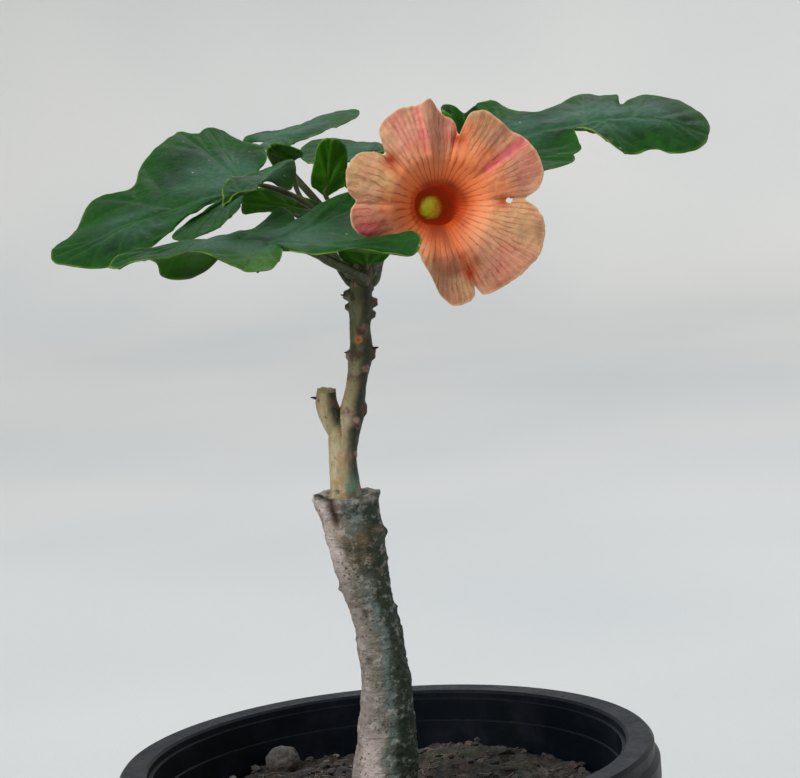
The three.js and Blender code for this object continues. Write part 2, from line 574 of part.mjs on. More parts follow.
function corollaGeometry() {
  const axes = flowerAxes();
  const { stations, shoulder, columns, limbRows } = FLOWER;
  const rows = stations.length - 1 + limbRows;
  const mouth = stations[stations.length - 1];
  const surface = moved(new THREE.PlaneGeometry(1, 1, columns, rows), (p) => {
    const column = Math.round((p.x + 0.5) * columns) % columns;
    const row = Math.round((p.y + 0.5) * rows);
    const degrees = (360 * column) / columns;
    let [radius, depth] = stations[Math.min(row, stations.length - 1)];
    if (row >= stations.length) {
      const s = (row - stations.length + 1) / limbRows;
      const [reach, lift] = rimAt(degrees);
      radius = THREE.MathUtils.lerp(mouth[0], reach, s);
      const settled = THREE.MathUtils.smoothstep(radius, mouth[0], shoulder.radius);
      depth = THREE.MathUtils.lerp(mouth[1], shoulder.depth, settled) - lift * s * s;
    }
    const angle = radians(degrees);
    return inFlower(axes, radius * Math.cos(angle), radius * Math.sin(angle), -depth);
  });
  return thickened(surface, FLOWER.thickness);
}

/** Radius of the flower's tube, measured to its outside, at a distance behind the face. */
function tubeRadius(depth) {
  const { stations, thickness } = FLOWER;
  const next = stations.findIndex((station) => station[1] <= depth);
  const [high, low] = [stations[next], stations[next - 1]];
  const share = (depth - low[1]) / (high[1] - low[1]);
  return THREE.MathUtils.lerp(low[0], high[0], share) + thickness / 2;
}

/** The green cup that holds the tube, with five pointed teeth, on its own stalk. */
function calyxGeometry() {
  const axes = flowerAxes();
  const heel = FLOWER.stations[0][1];
  const floor = heel + FLOWER.thickness / 2 + GAP;
  const lip = heel - CALYX.length;
  const inside = (depth) => tubeRadius(Math.min(depth, heel - 0.5)) + 1.7 * GAP;
  const profile = [
    [0, floor + 2.2], [1.6, floor + 2], [3, floor + 0.8], [CALYX.radius, heel - 1.5],
    [inside(lip) + CALYX.wall, lip], [inside(lip) + 0.1, lip], [inside(heel - 3) + 0.2, heel - 3],
    [inside(heel - 0.5), heel - 0.4], [inside(heel) - 0.8, floor], [0, floor],
  ];
  const cup = turned(profile, CALYX.segments, (v) => {
    const tooth = 0.5 + 0.5 * Math.cos(CALYX.teeth * Math.atan2(v.y, v.x));
    const outward = v.z - (v.z < lip + 0.5 ? CALYX.toothLength * tooth : 0);
    return inFlower(axes, v.x, v.y, -outward);
  });
  const end = inFlower(axes, 0, 0, -floor - 1.4).toArray();
  const stalk = bentTube([
    ...stalkFoot(PEDICEL.from, PEDICEL.radius),
    ...PEDICEL.via.map((point) => [...point, PEDICEL.radius]),
    [...inFlower(axes, -0.6, -0.5, -floor - 5).toArray(), PEDICEL.radius * 1.1],
    [...end, PEDICEL.radius * 1.3],
  ], { sides: 8, steps: 12 });
  return joined(cup, stalk);
}

/** The pistil in the tube, with its broad tip below the mouth. */
function pistilGeometry() {
  const axes = flowerAxes();
  const at = (share) => inFlower(axes, 0, 0, -THREE.MathUtils.lerp(PISTIL.from, PISTIL.to, share)).toArray();
  const { radius, headRadius } = PISTIL;
  return bentTube([
    [...at(0), radius * 1.5], [...at(0.3), radius], [...at(0.75), radius], [...at(0.88), headRadius],
    [...at(0.96), headRadius], [...at(1), headRadius * 0.4],
  ], { sides: 8, steps: 12 });
}

// ---------------------------------------------------------------- the plant in its pot

function piece(name, geometry, material) {
  const mesh = new THREE.Mesh(geometry, material);
  mesh.name = name;
  return mesh;
}

const SMALL_LEAVES = ['leaf_upright', 'leaf_inner_low', 'leaf_small', 'leaf_young'];

const group = new THREE.Group();
group.add(piece('pot', potGeometry(), MATERIALS.pot));
group.add(piece('soil', soilGeometry(), MATERIALS.soil));
group.add(piece('pebble', pebbleGeometry(), MATERIALS.pebble));
group.add(piece('rootstock', cleftRootstockGeometry(), MATERIALS.bark));
group.add(piece('scion', scionGeometry(), MATERIALS.stem));
for (const [name, leaf] of Object.entries(LEAVES)) {
  const material = SMALL_LEAVES.includes(name) ? MATERIALS.youngLeaf : MATERIALS.leaf;
  group.add(piece(name, leafGeometry(leaf), material));
}
group.add(piece('calyx', calyxGeometry(), MATERIALS.calyx));
group.add(piece('corolla', corollaGeometry(), MATERIALS.corolla));
group.add(piece('pistil', pistilGeometry(), MATERIALS.pistil));

export default group;
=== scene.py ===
"""Potted uncarina: a grafted shrub with lobed leaves and one open flower, in a round nursery pot.

Sizes are in millimetres and turned into metres by MM. The origin is the middle of the pot's underside,
+Z is up and the flower faces -Y. Each sub-assembly is a class with its sizes as fields.
"""

from __future__ import annotations

import logging
import math
import random
from dataclasses import dataclass, field
from enum import Enum
from typing import Callable, Iterable, Sequence

import bmesh
import bpy
from mathutils import Matrix, Vector, kdtree, noise


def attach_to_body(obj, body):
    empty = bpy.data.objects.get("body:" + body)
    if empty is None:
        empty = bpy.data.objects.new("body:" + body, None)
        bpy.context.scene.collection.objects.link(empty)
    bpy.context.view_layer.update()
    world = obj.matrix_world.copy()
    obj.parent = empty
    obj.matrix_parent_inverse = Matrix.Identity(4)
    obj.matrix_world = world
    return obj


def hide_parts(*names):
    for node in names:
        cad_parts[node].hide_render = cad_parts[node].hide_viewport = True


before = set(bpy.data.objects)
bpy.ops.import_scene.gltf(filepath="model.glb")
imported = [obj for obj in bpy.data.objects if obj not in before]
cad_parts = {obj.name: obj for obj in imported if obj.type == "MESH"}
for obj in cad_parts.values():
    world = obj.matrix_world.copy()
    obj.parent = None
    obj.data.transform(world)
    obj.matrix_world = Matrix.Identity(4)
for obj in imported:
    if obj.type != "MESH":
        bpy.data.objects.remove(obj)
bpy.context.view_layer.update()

MM = 0.001
BODY = "root"
LOG = logging.getLogger("uncarina")

Pair = tuple[float, float]
Triple = tuple[float, float, float]
Quad = tuple[float, float, float, float]
Socket = bpy.types.NodeSocket
Material = bpy.types.Material
Mesh = bmesh.types.BMesh
Layer = bmesh.types.BMLayerItem
Place = tuple[bmesh.types.BMVert, int, int]
Piece = bpy.types.Object
Relief = Callable[[Vector, Vector, float], float]


# ---- numbers and curves


def srgb(red: int, green: int, blue: int) -> Quad:
    """Returns a screen colour (0 to 255 a channel) as linear light with alpha 1."""
    parts = [c / 255 for c in (red, green, blue)]
    linear = [c / 12.92 if c <= 0.04045 else ((c + 0.055) / 1.055) ** 2.4 for c in parts]
    return (linear[0], linear[1], linear[2], 1.0)


def smoothstep(low: float, high: float, value: float) -> float:
    """Returns 0 below low, 1 above high and an S-curve between them."""
    t = min(max((value - low) / (high - low), 0.0), 1.0)
    return t * t * (3 - 2 * t)


def lerp(a: float, b: float, t: float) -> float:
    """Returns the value a share t of the way from a to b."""
    return a + (b - a) * t


def hump(distance: float, width: float) -> float:
    """Returns a bell of height 1 that has died away at about twice the width."""
    return math.exp(-((distance / width) ** 2))


def smooth_row(rows: Sequence[Sequence[float]], share: float) -> list[float]:
    """A smooth row of numbers along a list of equally spaced rows.

    Args:
        rows: the rows, each of the same length.
        share: place along the list, 0 to 1.

    Returns:
        The row at that place, on a Catmull-Rom curve.
    """
    last = len(rows) - 1
    index = min(int(share * last), last - 1)
    u = share * last - index
    a, b, c, d = (rows[min(max(index + k, 0), last)] for k in (-1, 0, 1, 2))
    return [
        0.5 * (2 * q + (r - p) * u + (2 * p - 5 * q + 4 * r - s) * u * u + (3 * q - p - 3 * r + s) * u**3)
        for p, q, r, s in zip(a, b, c, d)
    ]


def unevenness(x: float, y: float, z: float) -> float:
    """Returns a repeatable value between about -1 and 1, from three crossing waves."""
    return (math.sin(1.7 * x + 0.9 * z) + math.sin(1.3 * y - 1.1 * x + 2) + math.sin(0.8 * z + 1.9 * y + 4)) / 3


def lumps(point: Vector, size: float, octaves: int = 3) -> float:
    """Returns fractal noise of about -1 to 1 at a point in millimetres, with lumps of that size."""
    return noise.fractal(point / size, 0.6, 2.0, octaves)


# ---- shader trees


class Tree:
    """A node tree that is filled by short calls."""

    def __init__(self, tree: bpy.types.NodeTree) -> None:
        """Takes the tree to fill."""
        self.tree = tree

    def node(self, kind: str, **settings: object) -> bpy.types.Node:
        """Adds a node and sets its properties. Returns the node."""
        made = self.tree.nodes.new(kind)
        for name, value in settings.items():
            setattr(made, name, value)
        return made

    def feed(self, socket: Socket, value: object) -> None:
        """Links a socket to a value if that is a socket, and sets it otherwise."""
        if isinstance(value, bpy.types.NodeSocket):
            self.tree.links.new(value, socket)
        else:
            socket.default_value = value

    def fed(self, kind: str, settings: dict[str, object], values: dict[str | int, object]) -> bpy.types.Node:
        """Adds a node, sets its properties and feeds its inputs. Returns the node."""
        made = self.node(kind, **settings)
        for name, value in values.items():
            self.feed(made.inputs[name], value)
        return made

    def math(self, operation: str, *values: object) -> Socket:
        """Adds a Math node. Returns its result."""
        return self.fed("ShaderNodeMath", {"operation": operation}, dict(enumerate(values))).outputs[0]

    def times(self, *values: object) -> Socket:
        """Multiplies values one after another. Returns the product."""
        product, *others = values
        for value in others:
            product = self.math("MULTIPLY", product, value)
        return product

    def either(self, *values: object) -> Socket:
        """Returns the larger of two values."""
        return self.math("MAXIMUM", *values)

    def ranged(self, value: object, low: object, high: object, to_low: float = 0.0, to_high: float = 1.0) -> Socket:
        """Adds a smooth Map Range from low..high to to_low..to_high. Returns its result."""
        values = dict(enumerate((value, low, high, to_low, to_high)))
        return self.fed("ShaderNodeMapRange", {"interpolation_type": "SMOOTHSTEP"}, values).outputs[0]

    def band(self, value: object, middle: float, near: float, far: float, height: float = 1.0) -> Socket:
        """Returns the height where a value is near its middle, and 0 beyond the far distance."""
        off = self.math("ABSOLUTE", self.math("SUBTRACT", value, middle))
        return self.ranged(off, near, far, height, 0.0)

    def jitter(self, value: object, wobble: object, much: float) -> Socket:
        """Returns a value moved up and down by a noise, half of much either way."""
        return self.math("ADD", value, self.times(self.math("SUBTRACT", wobble, 0.5), much))

    def mix(self, share: object, first: object, second: object) -> Socket:
        """Mixes two colours. Returns the colour."""
        return self.fed("ShaderNodeMix", {"data_type": "RGBA"}, {0: share, 6: first, 7: second}).outputs[2]

    def coat(self, body: object, colour: object, *masks: object) -> Socket:
        """Lays a colour over a body where all masks are high. Returns the colour.

        Args:
            body: the colour below.
            colour: the colour of the coat.
            masks: sockets or numbers to multiply; a name stands for a painted layer.
        """
        shares = (self.painted(mask) if isinstance(mask, str) else mask for mask in masks)
        return self.mix(self.times(*shares), body, colour)

    def noise(
        self, vector: object, scale: object, detail: float = 4.0, rough: float = 0.55, warp: float = 0.0
    ) -> Socket:
        """Adds a noise texture. Returns its value."""
        values = {"Vector": vector, "Scale": scale, "Detail": detail, "Roughness": rough, "Distortion": warp}
        return self.fed("ShaderNodeTexNoise", {}, values).outputs[0]

    def patches(self, noise: tuple, low: float, high: float, to_low: float = 0.0, to_high: float = 1.0) -> Socket:
        """Returns soft-edged patches: a noise, given by its arguments, ranged from low..high."""
        return self.ranged(self.noise(*noise), low, high, to_low, to_high)

    def cells(self, vector: object, scale: object, feature: str = "F1") -> Socket:
        """Adds a Voronoi texture. Returns its distance."""
        made = self.fed("ShaderNodeTexVoronoi", {"feature": feature}, {"Vector": vector, "Scale": scale})
        return made.outputs["Distance"]

    def place(self) -> Socket:
        """Returns the Object coordinates."""
        return self.node("ShaderNodeTexCoord").outputs["Object"]

    def stretched(self, *scale: float) -> Socket:
        """Returns the Object coordinates stretched by a scale for each axis."""
        return self.fed("ShaderNodeMapping", {}, {"Vector": self.place(), "Scale": scale}).outputs[0]

    def parts(self, vector: object) -> Sequence[Socket]:
        """Returns the x, y and z of a vector."""
        return self.fed("ShaderNodeSeparateXYZ", {}, {0: vector}).outputs

    def painted(self, name: str) -> Socket:
        """Returns the value of a mesh attribute."""
        return self.node("ShaderNodeAttribute", attribute_name=name).outputs["Fac"]

    def bump(self, height: object, strength: float, distance: object, normal: Socket | None = None) -> Socket:
        """Adds a Bump node with a distance in metres. Returns its normal."""
        values = {"Strength": strength, "Distance": distance, "Height": height}
        if normal is not None:
            values["Normal"] = normal
        return self.fed("ShaderNodeBump", {}, values).outputs[0]

    def group(self, group: bpy.types.NodeTree, **values: object) -> bpy.types.Node:
        """Places a node group and feeds its inputs. Returns the node."""
        return self.fed("ShaderNodeGroup", {"node_tree": group}, values)

    def effect(self, name: str, *values: object) -> Socket:
        """Places a shared effect and feeds its inputs in their order. Returns its output."""
        return self.fed("ShaderNodeGroup", {"node_tree": EFFECTS[name]}, dict(enumerate(values))).outputs[0]


def shader_group(
    name: str, inputs: dict[str, float], outputs: dict[str, str], fill: Callable[[Tree, dict, dict], None]
) -> bpy.types.NodeTree:
    """A shader node group with named inputs and outputs.

    Args:
        name: the group's name.
        inputs: the starting value of each number it takes.
        outputs: the socket type of each output.
        fill: fills the tree; it gets the tree, the input sockets and the output sockets.

    Returns:
        The group.
    """
    made = bpy.data.node_groups.new(name, "ShaderNodeTree")
    for title, value in inputs.items():
        made.interface.new_socket(title, in_out="INPUT", socket_type="NodeSocketFloat").default_value = value
    for title, kind in outputs.items():
        made.interface.new_socket(title, in_out="OUTPUT", socket_type=kind)
    tree = Tree(made)
    taken = tree.node("NodeGroupInput").outputs
    given = tree.node("NodeGroupOutput").inputs
    fill(tree, {t: taken[t] for t in inputs}, {t: given[t] for t in outputs})
    return made


VALUE = "NodeSocketFloat"
NORMAL = "NodeSocketVector"


def fill_mottle(tree: Tree, taken: dict, given: dict) -> None:
    """Fills the group that gives uneven patches: large clouds broken up by small ones."""
    place = tree.place()
    clouds = tree.noise(place, taken["Scale"], 3, 0.5)
    crumbs = tree.noise(place, tree.times(taken["Scale"], 5.0), 5, 0.65)
    both = tree.math("ADD", tree.times(clouds, 0.65), tree.times(crumbs, 0.35))
    edges = (tree.math(way, 0.5, taken["Softness"]) for way in ("SUBTRACT", "ADD"))
    tree.feed(given["Mask"], tree.ranged(both, *edges))


def fill_specks(tree: Tree, taken: dict, given: dict) -> None:
    """Fills the group that gives scattered round specks."""
    place = tree.place()
    dot = tree.math("LESS_THAN", tree.cells(place, taken["Scale"]), taken["Size"])
    rare = tree.patches((place, tree.times(taken["Scale"], 0.4), 1), 0.52, 0.62)
    tree.feed(given["Mask"], tree.times(dot, rare))


def fill_grain(tree: Tree, taken: dict, given: dict) -> None:
    """Fills the group that gives a fine uneven surface normal."""
    place = tree.place()
    fine = tree.noise(place, taken["Scale"], 6, 0.7)
    pores = tree.cells(place, tree.times(taken["Scale"], 1.7))
    height = tree.math("ADD", fine, tree.times(pores, 0.5))
    tree.feed(given["Normal"], tree.bump(height, 1.0, taken["Depth"]))


EFFECTS = {
    "mottle": shader_group("mottle", {"Scale": 100.0, "Softness": 0.12}, {"Mask": VALUE}, fill_mottle),
    "specks": shader_group("specks", {"Scale": 200.0, "Size": 0.2}, {"Mask": VALUE}, fill_specks),
    "grain": shader_group("grain", {"Scale": 800.0, "Depth": 0.0001}, {"Normal": NORMAL}, fill_grain),
}


# ---- meshes


def new_piece(name: str, bm: Mesh, materials: Iterable[Material] = (), smooth: bool = True) -> Piece:
    """Turns a bmesh into an object at the origin.

    Args:
        name: the piece's name.
        bm: its shape, in metres; it is freed.
        materials: the materials of its faces.
        smooth: whether its faces are shaded smooth.

    Returns:
        The object.
    """
    mesh = bpy.data.meshes.new(name)
    bm.to_mesh(mesh)
    bm.free()
    for material in materials:
        mesh.materials.append(material)
    if smooth:
        mesh.shade_smooth()
    made = bpy.data.objects.new(name, mesh)
    bpy.context.scene.collection.objects.link(made)
    return made


def carried(piece: Piece, slot: str, *nodes: str) -> Piece:
    """Puts a piece on the body and in the place of CAD nodes, which it hides. Returns the piece."""
    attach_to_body(piece, BODY)
    if nodes:
        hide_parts(*nodes)
    LOG.info("%s: %d faces", piece.name, len(piece.data.polygons))
    return piece


def grid(columns: int, rows: int, *names: str) -> tuple[Mesh, list[Place], list[Layer]]:
    """Makes a flat grid that is moved into shape later.

    Args:
        columns: faces across.
        rows: faces up.
        names: the vertex value layers to make.

    Returns:
        The bmesh, each vertex with its column and row, and the layers.
    """
    bm = bmesh.new()
    bmesh.ops.create_grid(bm, x_segments=columns, y_segments=rows, size=0.5)
    layers = painted(bm, *names)
    places = [(v, round((v.co.x + 0.5) * columns), round((v.co.y + 0.5) * rows)) for v in bm.verts]
    return bm, places, layers


def closed(bm: Mesh, gap: float = 1e-6) -> Mesh:
    """Joins the vertices that lie within a gap in metres and turns the faces outward. Returns the bmesh."""
    bmesh.ops.remove_doubles(bm, verts=bm.verts[:], dist=gap)
    bmesh.ops.recalc_face_normals(bm, faces=bm.faces[:])
    return bm


def turned(profile: Iterable[Pair], steps: int) -> Mesh:
    """Returns a profile of radius and height, in metres, turned about the Z axis."""
    bm = bmesh.new()
    verts = [bm.verts.new((radius, 0, height)) for radius, height in profile]
    edges = [bm.edges.new(pair) for pair in zip(verts, verts[1:])]
    bmesh.ops.spin(
        bm, geom=verts + edges, cent=(0, 0, 0), axis=(0, 0, 1), angle=2 * math.pi, steps=steps, use_merge=True
    )
    return closed(bm)


def backed(bm: Mesh) -> list[bmesh.types.BMVert]:
    """Gives an open sheet a second side that lies on the first. Returns the vertices of the new side."""
    made = bmesh.ops.extrude_face_region(bm, geom=bm.faces[:], use_keep_orig=True)["geom"]
    return [item for item in made if isinstance(item, bmesh.types.BMVert)]


def painted(bm: Mesh, *names: str) -> list[Layer]:
    """Returns the vertex value layers of those names, made if they aren't there."""
    layers = bm.verts.layers.float
    for name in names:
        if name not in layers:
            layers.new(name)
    return [layers[name] for name in names]


@dataclass(frozen=True)
class Bent:
    """A round tube along stations of x, y, z and radius, in millimetres."""

    stations: Sequence[Quad]
    sides: int = 24
    steps: int = 60
    cap: int = 1

    def line(self) -> list[tuple[Vector, Vector, float]]:
        """Returns the centre, the direction and the radius at each step."""
        rows = [smooth_row(self.stations, i / self.steps) for i in range(self.steps + 1)]
        centres = [Vector(row[:3]) for row in rows]
        ahead = [centres[min(i + 1, self.steps)] - centres[max(i - 1, 0)] for i in range(self.steps + 1)]
        return [(c, a.normalized(), max(row[3], 0.02)) for c, a, row in zip(centres, ahead, rows)]

    def mesh(self, relief: Relief = lambda centre, outward, share: 0.0) -> Mesh:
        """A closed tube in metres.

        Args:
            relief: what is added to the radius, from the centre, the outward direction and the share of the way.

        Returns:
            The bmesh.
        """
        line = self.line()
        chord = (line[-1][0] - line[0][0]).cross(Vector((0, 0, 1)))
        aside = chord.normalized() if chord.length > 1e-3 else Vector((1, 0, 0))
        total = self.steps + 2 * self.cap
        bm, places, _ = grid(self.sides, total)
        for vert, column, row in places:
            step = min(max(row - self.cap, 0), self.steps)
            centre, ahead, radius = line[step]
            across = (aside - ahead * aside.dot(ahead)).normalized()
            other = ahead.cross(across)
            turn = 2 * math.pi * (column % self.sides) / self.sides
            outward = across * math.cos(turn) + other * math.sin(turn)
            closing = min(row, total - row, self.cap) / self.cap
            reach = closing * (radius + relief(centre, outward, step / self.steps))
            vert.co = (centre + outward * reach) * MM
        return closed(bm, 1e-7)


def joined(target: Mesh, other: Mesh, material: int = 0) -> None:
    """Adds another bmesh's faces to a target, with a material index, and frees it."""
    for face in other.faces:
        face.material_index = material
    spare = bpy.data.meshes.new("spare")
    other.to_mesh(spare)
    other.free()
    target.from_mesh(spare)
    bpy.data.meshes.remove(spare)


# ---- the stem's line

SCION: tuple[Quad, ...] = (
    (-5.2, -0.5, 230, 2.6), (-5.2, -0.5, 236, 4.2), (-5.3, -0.5, 241, 4.6), (-5.4, -0.3, 250.5, 4.1),
    (-4.4, 0, 258, 4.6), (-1.9, 0, 263.5, 3.9), (-0.6, 0, 268, 3.3), (0.8, 0, 274, 3), (2.2, 0, 280, 3.5),
    (2.9, 0, 284, 3.4), (3, 0, 289.5, 3.1), (3.7, 0, 295.5, 3.6), (4, 0, 299.5, 3.4), (5, 0, 304.5, 3),
    (5.4, 0, 308.5, 2.8), (5.5, 0, 311, 1.8),
)


def level_row(stations: Sequence[Quad], height: float) -> list[float]:
    """Returns the row of x, y, z and radius at a height of an upright line of stations."""
    above = next((i for i, station in enumerate(stations) if station[2] >= height), len(stations) - 1)
    low, high = stations[max(above - 1, 0)], stations[above]
    share = (height - low[2]) / (high[2] - low[2]) if high[2] > low[2] else 1.0
    return [lerp(a, b, min(max(share, 0.0), 1.0)) for a, b in zip(low, high)]


def paint_sides(bm: Mesh, stations: Sequence[Quad]) -> None:
    """Paints how far each vertex faces right (1) or left (0) of the middle of an upright line of stations."""
    (side,) = painted(bm, "side")
    for vert in bm.verts:
        row = level_row(stations, vert.co.z / MM)
        out = Vector((vert.co.x / MM - row[0], vert.co.y / MM - row[1]))
        vert[side] = 0.5 + 0.5 * out.x / max(out.length, row[3], 0.1)


def stem_foot(heading: float, height: float, radius: float) -> list[Quad]:
    """The first stations of a stalk, which swells where it leaves the stem.

    Args:
        heading: direction in which it leaves the stem, in degrees.
        height: height at which it leaves.
        radius: the stalk's radius.

    Returns:
        Two stations of x, y, z and radius: one in the stem, one outside it.
    """
    middle, _, _, stem = level_row(SCION, height)
    out = Vector((math.cos(math.radians(heading)), math.sin(math.radians(heading))))
    inside, outside = stem - 0.9, stem + 2.0
    return [
        (middle + inside * out.x, inside * out.y, height, 1.3 * radius),
        (middle + outside * out.x, outside * out.y, height + 0.8, radius),
    ]


# ---- leaves


@dataclass(frozen=True)
class LeafShape:
    """A lobed leaf. Each rib is the angle from the midrib, the length and the lift of its end.

    Its painted lit lobe, coloured bright green as if light shone through it, is given by side, share along that
    side and width.
    """

    node: str
    attach: Triple
    turn: Triple
    spine: float
    right: tuple[Triple, ...]
    left: tuple[Triple, ...]
    leaves_stem: Pair
    via: tuple[Triple, ...]
    radius: float
    slide: Pair = (0.62, 1.0)
    bow: float = 1.0
    curl: float = 1.7
    fresh: Triple = (0, 0, 1)

    def axes(self) -> tuple[Vector, Vector, Vector]:
        """Returns the blade's axes: along the midrib, to the left, and out of the upper side."""
        heading, pitch, bank = (math.radians(a) for a in self.turn)
        x = Vector((math.cos(heading) * math.cos(pitch), math.sin(heading) * math.cos(pitch), math.sin(pitch)))
        level = Vector((0, 0, 1)).cross(x).normalized()
        y = level * math.cos(bank) + x.cross(level) * math.sin(bank)
        return x, y, x.cross(y)

    def foot(self, share: float) -> float:
        """Returns how far along the midrib a rib starts, for a share from the tip (0) to the stalk (1)."""
        reach, power = self.slide
        return self.spine * (1 - min(1.0, share / reach) ** power)

    def ribs(self, side: int) -> tuple[Triple, ...]:
        """Returns the ribs of one side: +1 left, -1 right."""
        return self.left if side > 0 else self.right

    def flat(self, side: int, share: float, out: float) -> Pair:
        """Returns where a point of the blade lies along and beside the midrib."""
        angle, length, _ = smooth_row(self.ribs(side), share)
        turn = math.radians(angle)
        return self.foot(share) + out * length * math.cos(turn), out * length * math.sin(turn)

    def crest(self, along: float) -> float:
        """Returns the height of the bowed midrib at a distance along it."""
        return self.bow * math.sin(math.pi / 2 * min(max(along / self.spine, 0.0), 1.0))


@dataclass
class VeinMap:
    """The veins of one leaf, as points with a width that can be searched for the nearest."""

    shape: LeafShape
    main_width: float = 0.75
    side_width: float = 0.52
    samples: int = 60
    midrib_samples: int = 200
    points: list[Triple] = field(default_factory=list)
    main_count: int = 0
    main: kdtree.KDTree | None = None
    side: kdtree.KDTree | None = None

    def lobes(self, side: int) -> list[int]:
        """Returns the ribs of one side that end in a lobe's tip."""
        lengths = [rib[1] for rib in self.shape.ribs(side)]
        least = 0.25 * max(lengths)
        inner = zip(range(1, len(lengths) - 1), lengths, lengths[1:], lengths[2:])
        return [i for i, before, here, after in inner if before < here >= after and here > least]

    def trace(self, start: Pair, end: Pair, side: int, swing: float = 1.0) -> list[Pair]:
        """Returns points of a vein between two places given as (share, out) on one side of the blade."""
        made = []
        for i in range(self.samples + 1):
            t = i / self.samples
            share = min(max(lerp(start[0], end[0], t**swing), 0.0), 1.0)
            made.append(self.shape.flat(side, share, lerp(start[1], end[1], t)))
        return made

    def tapered(self, path: Iterable[Pair], width: float, full: float, loss: float) -> list[Triple]:
        """Returns the points of a vein with its width, from a share full of it to full less loss."""
        return [(x, y, width * (full - loss * i / self.samples)) for i, (x, y) in enumerate(path)]

    def build(self) -> "VeinMap":
        """Lays the midrib, the lobes' veins and the side veins between them. Returns the map."""
        tip = self.shape.spine + self.shape.right[0][1]
        count = self.midrib_samples
        mains = [(tip * i / count, 0.0, self.main_width * (1 - 0.7 * i / count)) for i in range(count)]
        sides: list[Triple] = []
        for side in (1, -1):
            last = len(self.shape.ribs(side)) - 1
            tips = self.lobes(side)
            for index in tips:
                path = self.trace((index / last, 0.0), (index / last, 0.97), side)
                mains += self.tapered(path, self.main_width, 0.95, 0.65)
            for place in range(1, last):
                nearest = min((0, *tips), key=lambda mark: abs(mark - place))
                if place != nearest:
                    out = max(0.82 - 0.3 * abs(place - nearest), 0.12)
                    path = self.trace((nearest / last, out - 0.08), (place / last, 0.96), side, swing=0.8)
                    sides += self.tapered(path, self.side_width, 1, 0.6)
        self.main, self.side = self.tree(mains), self.tree(sides)
        self.points = [*mains, *sides]
        self.main_count = len(mains)
        return self

    @staticmethod
    def tree(points: list[Triple]) -> kdtree.KDTree:
        """Returns a search tree of vein points."""
        made = kdtree.KDTree(len(points))
        for i, (x, y, _) in enumerate(points):
            made.insert((x, y, 0.0), i)
        made.balance()
        return made

    def near(self, x: float, y: float) -> Quad:
        """Returns distance and width of the nearest main vein, then of the nearest side vein."""
        _, i, main_gap = self.main.find((x, y, 0.0))
        _, j, side_gap = self.side.find((x, y, 0.0))
        return main_gap, self.points[i][2], side_gap, self.points[self.main_count + j][2]


